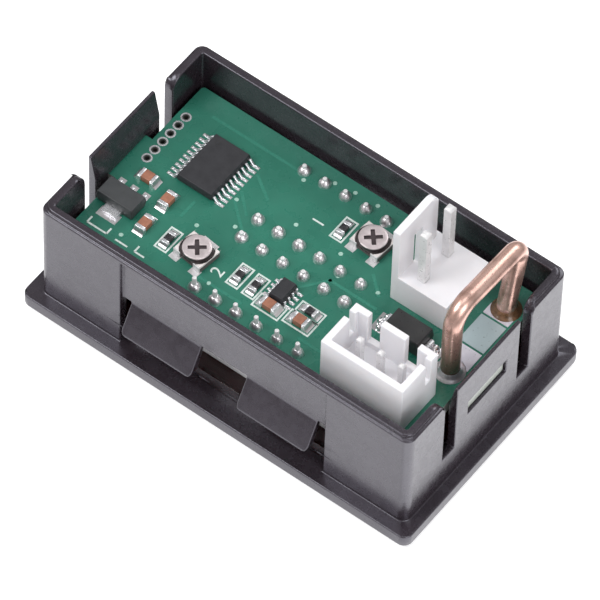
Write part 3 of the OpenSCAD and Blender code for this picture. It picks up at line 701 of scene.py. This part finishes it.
@dataclass
class PrintedBoard:
    """The board with its mask, print, vias and bare lands."""

    line: float = 0.2
    line_y: float = -8.9
    lines: Points = ((-19.9, 2.4), (-16.4, 1.5), (-14.0, 1.2))
    tick_y: float = -8.5
    tick_length: float = 0.8
    ticks: tuple[float, ...] = (-19.9, -17.5, -14.0)
    bore: float = 0.26
    ring_inner: float = 0.39
    ring_outer: float = 0.57
    program_pitch: float = 1.27
    program_count: int = 6
    program_at: Point = (-20.0, 7.2)
    land_lengths: tuple[float, ...] = (2.45, 3.75, 1.4)
    via_profile: Points = ((0.0, 0.02), (0.1, 0.03), (0.2, 0.03), (0.24, 0.0))
    vias: Points = (
        (-6.1, 8.3), (-3.4, 9.9), (-1.1, 10.2), (1.6, 10.3), (-9.9, 2.3), (-8.0, -0.4), (-3.4, 3.5),
        (2.2, 3.4), (3.6, 1.1), (-11.1, -2.6), (-5.9, -7.4), (7.5, -3.4), (7.9, 1.9), (9.6, -1.9),
        (-16.3, -8.1), (7.2, 9.9),
    )
    trace_width: float = 0.35
    trace_rise: float = 0.02
    traces: Pairs = (
        ((-17.8, 8.9), (-7.4, 8.9)), ((-10.0, 5.9), (-7.5, 4.2)), ((-10.0, 3.3), (-8.0, 1.4)),
        ((-9.9, 2.0), (-6.9, -0.6)), ((1.5, -2.2), (3.3, 0.2)), ((3.3, 0.2), (8.8, 0.2)),
        ((-13.0, -2.6), (-13.0, -0.6)), ((5.0, -7.2), (9.1, -7.2)), ((-7.0, -7.4), (-2.0, -7.4)),
        ((6.3, 3.3), (8.2, 1.6)),
    )
    numbers: tuple[tuple[str, float, float], ...] = (("1", -1.8, 5.1), ("2", -6.0, -5.8))
    number_size: float = 2.0

    def build(self) -> None:
        """Makes the pieces."""
        dress("circuit_board", SOLDER_MASK)
        self._lands()
        self._print()
        self._vias()
        self._traces()
        self._numbers()

    def _lands(self) -> None:
        """Pale lands by the board's edge, the middle one bluish."""
        span = Span.of("tinned_lands")
        gap = (span.size.y - sum(self.land_lengths)) / 2
        start = span.low.y + self.land_lengths[0] + gap / 2
        dress("tinned_lands", Banded(
            "pale_lands", (0.8, 0.78, 0.86), (0.66, 0.65, 0.74), 0.34, mottle=0.8, grain=5.0,
            grain_depth=0.003, metallic=0.25, start=start, end=start + gap + self.land_lengths[1]))

    def _print(self) -> None:
        """Lines by the board's edge and the plated programming holes, their barrels near black as painted
        shade.
        """
        work = bmesh.new()
        for start, length in self.lines:
            add_plate(work, (start + length / 2, self.line_y), (length, self.line), INK_T)
        for x in self.ticks:
            add_plate(work, (x, self.tick_y), (self.line, self.tick_length), INK_T)
        show(finish_mesh(work, "board_print"), SILK_INK)
        pad = (self.ring_inner, self.ring_outer, BOARD_TOP, BOARD_TOP + PAD_T)
        # the barrels are near black: painted shade inside the holes
        barrel = (self.bore, self.ring_inner, BOARD.low.z + 0.05, BOARD_TOP + PAD_T / 2)
        for name, finish, ring in (("pads", BRIGHT_TIN, pad), ("barrels", SHADED_HOLE, barrel)):
            work = bmesh.new()
            for index in range(self.program_count):
                add_ring(work, (self.program_at[0], self.program_at[1] - index * self.program_pitch), *ring)
            show(finish_mesh(work, "programming_" + name), finish)

    def _vias(self) -> None:
        """Small vias under the mask."""
        work = bmesh.new()
        for x, y in self.vias:
            add_turned(work, (x, y, BOARD_TOP), self.via_profile, 12)
        show(finish_mesh(work, "vias"), TENTED_VIA)

    def _traces(self) -> None:
        """Traces that stand out faintly under the mask."""
        work = bmesh.new()
        for (x0, y0), (x1, y1) in self.traces:
            size = (math.dist((x0, y0), (x1, y1)) + self.trace_width, self.trace_width)
            turn = math.degrees(math.atan2(y1 - y0, x1 - x0))
            add_plate(work, ((x0 + x1) / 2, (y0 + y1) / 2), size, self.trace_rise, turn)
        show(finish_mesh(work, "traces"), TRACE_MASK)

    def _numbers(self) -> None:
        """Plain numbers beside the two trimmers."""
        spin = Matrix.Rotation(math.radians(90.0), 4, "Z")
        for text, x, y in self.numbers:
            curve = bpy.data.curves.new("number_" + text, "FONT")
            curve.body = text
            curve.size = self.number_size * MM
            curve.extrude = INK_T * MM
            curve.align_x = "CENTER"
            curve.align_y = "CENTER"
            holder = bpy.data.objects.new("number_" + text, curve)
            bpy.context.scene.collection.objects.link(holder)
            bpy.context.view_layer.update()
            mesh = bpy.data.meshes.new_from_object(holder)
            bpy.data.objects.remove(holder)
            mesh.transform(Matrix.Translation((x * MM, y * MM, BOARD_TOP * MM)) @ spin)
            show(link_mesh(mesh, "printed_number_" + text), SILK_INK)


# ---- displays


@dataclass
class Display:
    """One three-digit display: its shell, segments, pins and solder joints."""

    name: str
    pin_radius: float = 0.25
    pins_per_row: int = 6
    pin_pitch: float = 2.54
    joint_profile: Points = (
        (0.7, 0.0), (0.69, 0.14), (0.64, 0.32), (0.55, 0.5), (0.43, 0.66), (0.33, 0.76), (0.26, 0.81),
        (0.0, 0.83),
    )
    short_pin: float = 1.05

    def build(self) -> None:
        """Makes the pieces."""
        name = self.name
        show_rounded(name + "_shell", name + "_body", 0.12, DISPLAY_PLASTIC)
        dress(name + "_segments", SEGMENT_RESIN)
        self._pins()

    def _pins(self) -> None:
        """Round pins with a domed tip, each in its own solder joint."""
        pins = Span.of(self.name + "_pins")
        solder = Span.of(self.name + "_solder")
        r = self.pin_radius
        rows = ((pins.low.y + r, 0), (pins.high.y - r, self.pins_per_row))
        pin_work, joint_work = bmesh.new(), bmesh.new()
        for y, first in rows:
            short_row = self.name.startswith("lower") and first > 0
            height = solder.low.z + self.short_pin if short_row else pins.high.z
            for index in range(self.pins_per_row):
                x = pins.low.x + r + index * self.pin_pitch
                top = height - 0.08 * (1 - spread(index + first, 1.0) / 2)
                tip = ((r, top - 0.14), (r * 0.85, top - 0.04), (0.0, top))
                add_turned(pin_work, (x, y, 0.0), ((0.0, pins.low.z), (r, pins.low.z), *tip), 16)
                wide = spread(index * 3 + first, 0.06)
                tall = spread(index * 5 + first + 1, 0.10) * 0.94
                joint = [(edge * wide if edge > 0.3 else edge, z * tall) for edge, z in self.joint_profile]
                add_turned(joint_work, (x, y, solder.low.z), joint)
        show(finish_mesh(pin_work, self.name + "_tinned_pins"), PIN_TIN, [self.name + "_pins"])
        show(finish_mesh(joint_work, self.name + "_joints", 60), SOLDER, [self.name + "_solder"])


# ---- chips


@dataclass
class Chip:
    """A chip with bent leads: body, leads, the pads they are soldered to and its pin mark."""

    name: str
    leads_a_side: int
    pad_reach: float = 0.3
    lead_pitch: float = 0.65
    pad_size: Point = (1.05, 0.34)
    bead: Points = ((0.15, 0.0), (0.13, 0.04), (0.07, 0.08), (0.0, 0.09))
    mark_radius: float = 0.3

    def build(self) -> None:
        """Makes the pieces."""
        name = self.name
        show_rounded(name + "_body", name + "_moulding", 0.05, CHIP_EPOXY)
        show_rounded(name + "_leads", name + "_formed_leads", 0.025, BRIGHT_TIN, 1)
        self._pads()
        self._mark()

    def _pads(self) -> None:
        """Pads under the leads, with a low bead of solder at each toe."""
        leads = Span.of(self.name + "_leads")
        work = bmesh.new()
        for side in (-1, 1):
            toe = leads.size.x / 2
            for index in range(self.leads_a_side):
                y = leads.middle.y + (index - (self.leads_a_side - 1) / 2) * self.lead_pitch
                x = leads.middle.x + side * (toe + self.pad_reach - self.pad_size[0] / 2)
                add_plate(work, (x, y), self.pad_size)
                x = leads.middle.x + side * (toe + self.pad_reach * 0.35)
                add_turned(work, (x, y, BOARD_TOP + PAD_T), self.bead, 10)
        show(finish_mesh(work, self.name + "_pads"), SOLDER)

    def _mark(self) -> None:
        """Shallow ring that marks the first lead."""
        body = Span.of(self.name + "_body")
        r, top = self.mark_radius, body.high.z
        work = bmesh.new()
        add_ring(work, (body.low.x + 3 * r, body.high.y - 3 * r), r * 0.75, r, top - 0.02, top + 0.012)
        show(finish_mesh(work, self.name + "_mark"), DIODE_EPOXY)


@dataclass
class Regulator:
    """The voltage regulator with its leads, heat tab and pads."""

    pads: Pairs = (
        ((-1.5, 1.9), (0.8, 1.1)), ((0.0, 1.9), (0.8, 1.1)), ((1.5, 1.9), (0.8, 1.1)),
        ((0.0, -2.0), (2.4, 1.2)),
    )

    def build(self) -> None:
        """Makes the pieces."""
        show_rounded("regulator_body", "regulator_moulding", 0.08, LIT_REGULATOR_EPOXY)
        show_rounded("regulator_leads", "regulator_tabs", 0.05, BRIGHT_TIN)
        work = bmesh.new()
        add_plates(work, Span.of("regulator_body").middle.xy, self.pads)
        show(finish_mesh(work, "regulator_pads"), SOLDER)


# ---- trimmers


@dataclass
class Trimmer:
    """A calibration trimmer: dished base, folded terminals, pads and the slotted rotor."""

    name: str
    turn: float
    pads: Pairs = (
        ((-1.35, -1.7), (1.1, 0.9)), ((1.35, -1.7), (1.1, 0.9)), ((0.0, 1.7), (2.0, 0.9)),
    )

    def build(self) -> None:
        """Makes the pieces."""
        name, node = self.name, self.name + "_trimmer"
        show_rounded(node + "_base", name + "_base", 0.06, TRIMMER_CERAMIC)
        show_rounded(node + "_terminals", name + "_terminals", 0.04, TRIMMER_TIN)
        show_rounded(node + "_rotor", name + "_rotor", 0.06, ROTOR_METAL, body=name + "_rotor")
        work = bmesh.new()
        add_plates(work, Span.of(node + "_base").middle.xy, self.pads, turn=self.turn)
        show(finish_mesh(work, node + "_pads"), TRIMMER_TIN)


# ---- headers


@dataclass
class Header:
    """A moulded header and its square pins."""

    name: str
    moulding: str
    edge_round: float = 0.1

    def build(self) -> None:
        """Makes the pieces."""
        name = self.name
        show_rounded(f"{name}_{self.moulding}", name + "_moulding", self.edge_round, WHITE_NYLON)
        show_rounded(name + "_pins", name + "_square_pins", 0.04, PIN_TIN)
        dress(name + "_solder", SOLDER)


# ---- shunt


@dataclass
class WirePath:
    """Sweeps a round wire in an upright plane: straight runs and bends, one after the other."""

    radius: float
    start: Vector
    sides: int = 28
    work: Draft = field(default_factory=bmesh.new)
    heading: float = 0.0

    def __post_init__(self) -> None:
        """Draws the first circle of the wire."""
        made = bmesh.ops.create_circle(self.work, cap_ends=False, segments=self.sides, radius=self.radius,
                                       matrix=Matrix.Translation(self.start))
        self.place = self.start.copy()
        self.loop = list({edge for vert in made["verts"] for edge in vert.link_edges})

    def _ahead(self) -> Vector:
        """Direction that the wire runs in."""
        turn = math.radians(self.heading)
        return Vector((0.0, math.sin(turn), math.cos(turn)))

    def run(self, length: float) -> "WirePath":
        """Goes straight on.

        Args:
            length: length of the run.

        Returns:
            The path, for the next step.
        """
        made = bmesh.ops.extrude_edge_only(self.work, edges=self.loop)["geom"]
        verts = [item for item in made if isinstance(item, bmesh.types.BMVert)]
        bmesh.ops.translate(self.work, verts=verts, vec=self._ahead() * length)
        fresh = set(verts)
        edges = [item for item in made if isinstance(item, bmesh.types.BMEdge)]
        self.loop = [edge for edge in edges if set(edge.verts) <= fresh]
        self.place = self.place + self._ahead() * length
        return self

    def bend(self, radius: float, angle: float) -> "WirePath":
        """Bends towards +Y, or away from it where the angle is negative.

        Args:
            radius: radius of the bend, to the middle of the wire.
            angle: degrees that it turns by.

        Returns:
            The path, for the next step.
        """
        side = 1.0 if angle > 0 else -1.0
        turn = math.radians(self.heading)
        across = Vector((0.0, math.cos(turn), -math.sin(turn))) * side
        centre = self.place + across * radius
        steps = max(4, round(abs(angle) / 5))
        made = bmesh.ops.spin(self.work, geom=self.loop, cent=centre, axis=(-side, 0, 0),
                              angle=math.radians(abs(angle)), steps=steps, use_duplicate=False)
        last = made["geom_last"]
        self.loop = [item for item in last if isinstance(item, bmesh.types.BMEdge)]
        self.heading += angle
        turn = math.radians(self.heading)
        self.place = centre - Vector((0.0, math.cos(turn), -math.sin(turn))) * side * radius
        return self


@dataclass
class Shunt:
    """The bent copper wire that carries the measured current, and the solder at its feet."""

    radius: float = 1.0
    leg: float = 7.4
    front_bend: float = 2.3
    back_bend: float = 1.3
    foot_bend: float = 2.0
    foot: float = 0.9
    span: float = 9.3
    top_heading: float = 94.6
    leg_heading: float = 192.0
    tail: float = 2.6
    joint_radius: float = 1.6
    joint: Points = (
        (0.99, 0.0), (1.6, 0.0), (1.56, 0.06), (1.38, 0.16), (1.22, 0.34), (1.1, 0.55), (0.99, 0.7),
        (0.99, 0.0),
    )

    def build(self) -> None:
        """Makes the pieces."""
        top_run, back_leg = self._runs()
        path = WirePath(self.radius, self.start)
        path.run(self.tail + self.leg).bend(self.front_bend, self.top_heading).run(top_run)
        path.bend(self.back_bend, self.leg_heading - self.top_heading).run(back_leg)
        path.bend(self.foot_bend, 180.0 - self.leg_heading).run(self.foot + self.tail)
        bmesh.ops.holes_fill(path.work, edges=path.work.edges)
        show(finish_mesh(path.work, "copper_shunt"), COPPER_WIRE, ["shunt_wire"])
        self._joints()

    @property
    def start(self) -> Vector:
        """Lower end of the wire, under the front foot."""
        y = Span.of("shunt_solder").low.y + self.joint_radius
        return Vector((Span.of("shunt_wire").low.x + self.radius, y, BOARD_TOP - self.tail))

    def _runs(self) -> tuple[float, float]:
        """Works out the straight stretches between the bends.

        Returns:
            Length of the top and length of the back leg.
        """
        bends = (
            (self.front_bend, 0.0, self.top_heading), (self.back_bend, self.top_heading, self.leg_heading),
            (self.foot_bend, self.leg_heading, 180.0),
        )
        left = Vector((self.span, self.foot - self.leg))
        for radius, start, end in bends:
            first, last = math.radians(start), math.radians(end)
            arc = Vector((math.cos(first) - math.cos(last), math.sin(last) - math.sin(first)))
            left -= arc * (radius if end > start else -radius)
        turns = (math.radians(self.top_heading), math.radians(self.leg_heading))
        ways = Matrix([[part(turn) for turn in turns] for part in (math.sin, math.cos)])
        return tuple(ways.inverted() @ left)

    def _joints(self) -> None:
        """Bright solder at the front foot and burnt flux over the solder at the back one."""
        x, y = self.start.xy
        for name, along, finish, nodes in (("front", 0.0, SOLDER, ["shunt_solder"]),
                                           ("back", self.span, BURNT_FLUX, [])):
            work = bmesh.new()
            add_turned(work, (x, y + along, BOARD_TOP), self.joint, 40)
            show(finish_mesh(work, f"shunt_{name}_joint", 60), finish, nodes)


# ---- small parts


@dataclass
class Diode:
    """The protection diode with its folded ends and the solder beside them."""

    bead: Points = (
        (0.46, 0.0), (0.45, 0.14), (0.38, 0.38), (0.24, 0.58), (0.1, 0.66), (0.0, 0.67),
    )
    bead_places: Points = ((0.25, -0.68), (0.5, 0.0), (0.2, 0.65))
    pad_size: Point = (1.6, 2.3)
    pad_reach: float = 0.3

    def build(self) -> None:
        """Makes the pieces."""
        show_rounded("diode_body", "diode_moulding", 0.1, DIODE_EPOXY)
        show_rounded("diode_terminals", "diode_straps", 0.05, BRIGHT_TIN)
        straps = Span.of("diode_terminals")
        work = bmesh.new()
        for side in (-1, 1):
            end = straps.middle.x + side * straps.size.x / 2
            add_plate(work, (end + side * self.pad_reach, straps.middle.y), self.pad_size)
            for index, (x, y) in enumerate(self.bead_places):
                wide, tall = spread(index + side, 0.12), spread(index * 2 + side, 0.2)
                shape = [(radius * wide, z * tall) for radius, z in self.bead]
                add_turned(work, (end + side * x, straps.middle.y + y, BOARD_TOP + PAD_T), shape)
        show(finish_mesh(work, "diode_solder", 60), WET_SOLDER)


@dataclass
class SmallParts:
    """Two-ended chip parts of one kind, with their pads, fillets and printed boxes."""

    kind: str
    finish: Finish
    slot: Slot
    length: float
    width: float
    height: float
    places: tuple[Place, ...]
    boxed: tuple[int, ...]
    fillet: float = 0.42
    grip: float = 0.35
    box_gap: float = 0.28
    line: float = 0.19

    def build(self) -> None:
        """Makes the pieces."""
        show_rounded(self.kind + "_bodies", self.kind + "_chips", 0.06, self.finish)
        show_rounded(self.kind + "_ends", self.kind + "_tinned_ends", 0.06, BRIGHT_TIN)
        self._fillets()
        self._boxes()

    def _fillets(self) -> None:
        """Pads with a sloping fillet of solder up each end: a profile drawn out to the part's width."""
        end, reach, rise, half = self.length / 2, self.fillet, self.height * 0.8, self.width / 2 + 0.06
        profile = (
            (end - self.grip, 0.0), (end + reach, 0.0), (end + reach, 0.05),
            (end + reach * 0.55, rise * 0.22), (end + reach * 0.22, rise * 0.55), (end, rise),
            (end - self.grip, rise),
        )
        work = bmesh.new()
        for x, y, turn in self.places:
            for way in (turn + 180, turn):
                spin = Matrix.Translation((x, y, BOARD_TOP)) @ Matrix.Rotation(math.radians(way), 4, "Z")
                verts = [work.verts.new(spin @ Vector((out, -half, up))) for out, up in profile]
                made = bmesh.ops.extrude_face_region(work, geom=[work.faces.new(verts)])["geom"]
                moved = [item for item in made if isinstance(item, bmesh.types.BMVert)]
                bmesh.ops.translate(work, verts=moved, vec=spin.to_3x3() @ Vector((0, 2 * half, 0)))
        show(finish_mesh(work, self.kind + "_fillets", 60), SOLDER)

    def _boxes(self) -> None:
        """Printed boxes round the parts that have one."""
        long = self.length + 2 * (self.fillet + self.box_gap)
        wide, line = self.width + 2 * self.box_gap + 0.2, self.line
        x, y = (long - line) / 2, (wide - line) / 2
        across, along = (long, line), (line, wide - 2 * line)
        bars = (((0, y), across), ((0, -y), across), ((x, 0), along), ((-x, 0), along))
        work = bmesh.new()
        for index in self.boxed:
            *middle, turn = self.places[index]
            add_plates(work, Vector(middle), bars, INK_T, turn)
        show(finish_mesh(work, self.kind + "_boxes"), SILK_INK)


CAPACITORS = (
    (-18.3, -1.15, 0.0), (-15.1, -2.15, 90.0), (-15.1, -5.8, 90.0), (0.5, -6.0, 0.0), (4.0, -5.65, 0.0),
)
RESISTORS = (
    (-12.2, -5.7, 90.0), (-4.0, -4.85, 90.0), (-2.0, -4.9, 90.0), (0.7, 5.9, 90.0), (4.1, -4.1, 0.0),
)


# ---- studio


@dataclass
class Lamp:
    """A soft square lamp that looks at the meter."""

    name: str
    place: Place
    size: float
    power: float
    colour: Colour = (1.0, 1.0, 1.0)

    def build(self, target: Vector) -> None:
        """Makes the lamp.

        Args:
            target: point that it looks at.
        """
        light = bpy.data.lights.new(self.name, "AREA")
        light.shape = "SQUARE"
        light.size = self.size
        light.energy = self.power
        light.color = self.colour
        holder = bpy.data.objects.new(self.name, light)
        bpy.context.scene.collection.objects.link(holder)
        holder.location = self.place
        holder.rotation_euler = (target - Vector(self.place)).to_track_quat("-Z", "Y").to_euler()


@dataclass
class Studio:
    """Pale floor, soft lamps, white surroundings and the camera, with lengths in metres.

    A ray that sees the floor mirrored meets a glow that fades from near to far.
    """

    ambient: float = 0.55
    mirrored_sky: float = 0.32
    floor_seen: float = 0.50
    mirrored_front: float = 0.50
    mirrored_side: float = 1.0
    near: float = 0.036
    far: float = 0.090
    left_far: float = 0.04
    bare_far: float = 0.97
    side_from: Point = (0.021, 0.026)
    floor_half: float = 1.5
    floor_drop: float = 0.00002
    floor_colour: Colour = (0.86, 0.86, 0.87)
    lens: float = 436.0
    azimuth: float = 35.474
    elevation: float = 55.466
    roll: float = 2.048
    distance: float = 0.7249
    aim: Place = (0.0006, -0.0010, 0.0072)
    lamps: tuple[Lamp, ...] = (
        Lamp("key", (-0.45, -0.45, 0.75), 0.5, 4.5, (1.0, 0.995, 0.99)),
        Lamp("fill", (0.65, -0.25, 0.5), 0.5, 2.6, (0.985, 0.99, 1.0)),
        Lamp("back", (0.05, 0.7, 0.6), 0.45, 1.9),
        Lamp("top", (0.02, 0.02, 0.85), 0.4, 0.6),
    )

    def build(self) -> None:
        """Makes the studio."""
        target = Vector(self.aim)
        for lamp in self.lamps:
            lamp.build(target)
        self._floor()
        self._world()
        self._camera(target)
        bpy.context.scene.view_settings.view_transform = "Standard"

    def _reach(self, recipe: Recipe) -> tuple[Socket, Socket]:
        """Lets the floor's mirrored glow fade with distance and grow on the side of the end wall.

        Args:
            recipe: the floor's material.

        Returns:
            Glow that a glossy or transmitted ray meets, and the share by which it meets no paint.
        """
        length = recipe.add("ShaderNodeVectorMath")
        length.operation = "LENGTH"
        recipe.link(recipe.place, length.inputs[0])
        distance = length.outputs["Value"]
        path = recipe.add("ShaderNodeLightPath").outputs
        glossy = recipe.join("SUBTRACT", path["Is Glossy Ray"], path["Is Transmission Ray"])
        close = recipe.ranged(distance, 1.0, self.left_far, self.near, self.far)
        side = recipe.ranged(recipe.axis("X"), self.mirrored_front, self.mirrored_side, *self.side_from)
        glow = recipe.join("MULTIPLY", glossy, recipe.join("MULTIPLY", close, side))
        clear = recipe.ranged(distance, 0.0, self.floor_seen, self.near, self.far)
        through = recipe.join("MULTIPLY", path["Is Transmission Ray"], clear)
        away = recipe.ranged(distance, 0.0, self.bare_far, self.near, self.far)
        return recipe.join("ADD", glow, through), recipe.join("MULTIPLY", glossy, away)

    def _floor(self) -> None:
        """Pale floor that keeps the shadow and shows white."""
        work = bmesh.new()
        bmesh.ops.create_grid(work, x_segments=1, y_segments=1, size=self.floor_half / MM)
        floor = finish_mesh(work, "studio_floor")
        floor.data.transform(Matrix.Translation((0, 0, -self.floor_drop)))
        recipe = Recipe("pale_floor", "ShaderNodeAddShader")
        mirrored, share = self._reach(recipe)
        paint, glow = recipe.add("ShaderNodeBsdfDiffuse"), recipe.add("ShaderNodeEmission")
        recipe.link(recipe.blend(share, self.floor_colour, (0.0, 0.0, 0.0)), paint.inputs["Color"])
        glow.inputs["Color"].default_value = (1.0, 1.0, 1.0, 1.0)
        seen = recipe.by_ray((("Is Camera Ray", self.floor_seen),), 0.0)
        recipe.link(recipe.join("ADD", seen, mirrored), glow.inputs["Strength"])
        for index, part in enumerate((paint, glow)):
            recipe.link(part.outputs[0], recipe.shader.inputs[index])
        floor.data.materials.append(recipe.material)

    def _world(self) -> None:
        """Even surroundings: white where they are seen, softer where they only light."""
        world = bpy.data.worlds.new("studio")
        world.use_nodes = True
        sky = world.node_tree.nodes["Background"]
        sky.inputs["Color"].default_value = (1.0, 1.0, 1.0, 1.0)
        mirrored = self.mirrored_sky
        kinds = (("Is Camera Ray", 1.0), ("Is Glossy Ray", mirrored), ("Is Transmission Ray", mirrored))
        tree = Tree(world.node_tree)
        tree.link(tree.by_ray(kinds, self.ambient), sky.inputs["Strength"])
        bpy.context.scene.world = world

    def _camera(self, target: Vector) -> None:
        """Puts the camera at its distance, turns it by its roll and aims it.

        Args:
            target: point that it looks at.
        """
        turn, rise, roll = (math.radians(value) for value in (self.azimuth, self.elevation, self.roll))
        back = Vector((math.sin(turn) * math.cos(rise), -math.cos(turn) * math.cos(rise), math.sin(rise)))
        right = Vector((math.cos(turn), math.sin(turn), 0.0))
        upright = math.cos(roll) * back.cross(right) - math.sin(roll) * right
        place = back * self.distance
        behind = (place - target).normalized()
        across = upright.cross(behind).normalized()
        up = behind.cross(across)
        data = bpy.data.cameras.new("camera")
        data.lens = self.lens
        data.sensor_width = 36.0
        data.clip_start = 0.01
        camera = bpy.data.objects.new("camera", data)
        bpy.context.scene.collection.objects.link(camera)
        camera.matrix_world = Matrix.Translation(place) @ Matrix((across, up, behind)).transposed().to_4x4()
        bpy.context.scene.camera = camera


def main() -> None:
    """Builds the meter's looks in order."""
    logging.basicConfig(level=logging.INFO, format="%(name)s: %(message)s")
    Case().build()
    PrintedBoard().build()
    for name in ("upper_display", "lower_display"):
        Display(name).build()
    Chip("microcontroller", 10).build()
    Chip("amplifier", 4, pad_reach=0.2, mark_radius=0.14).build()
    Regulator().build()
    Trimmer("voltage", -4.0).build()
    Trimmer("current", -7.0).build()
    Header("signal_header", "shroud").build()
    Header("power_header", "body", 0.07).build()
    Shunt().build()
    Diode().build()
    SmallParts("capacitor", CAPACITOR_CERAMIC, Slot.CAPACITOR, 1.9, 1.1, 0.75, CAPACITORS, (3, 4)).build()
    SmallParts("resistor", RESISTOR_GLAZE, Slot.RESISTOR, 1.6, 0.8, 0.5, RESISTORS, (0, 1, 2, 3, 4)).build()
    Studio().build()


if __name__ == "__main__":
    main()
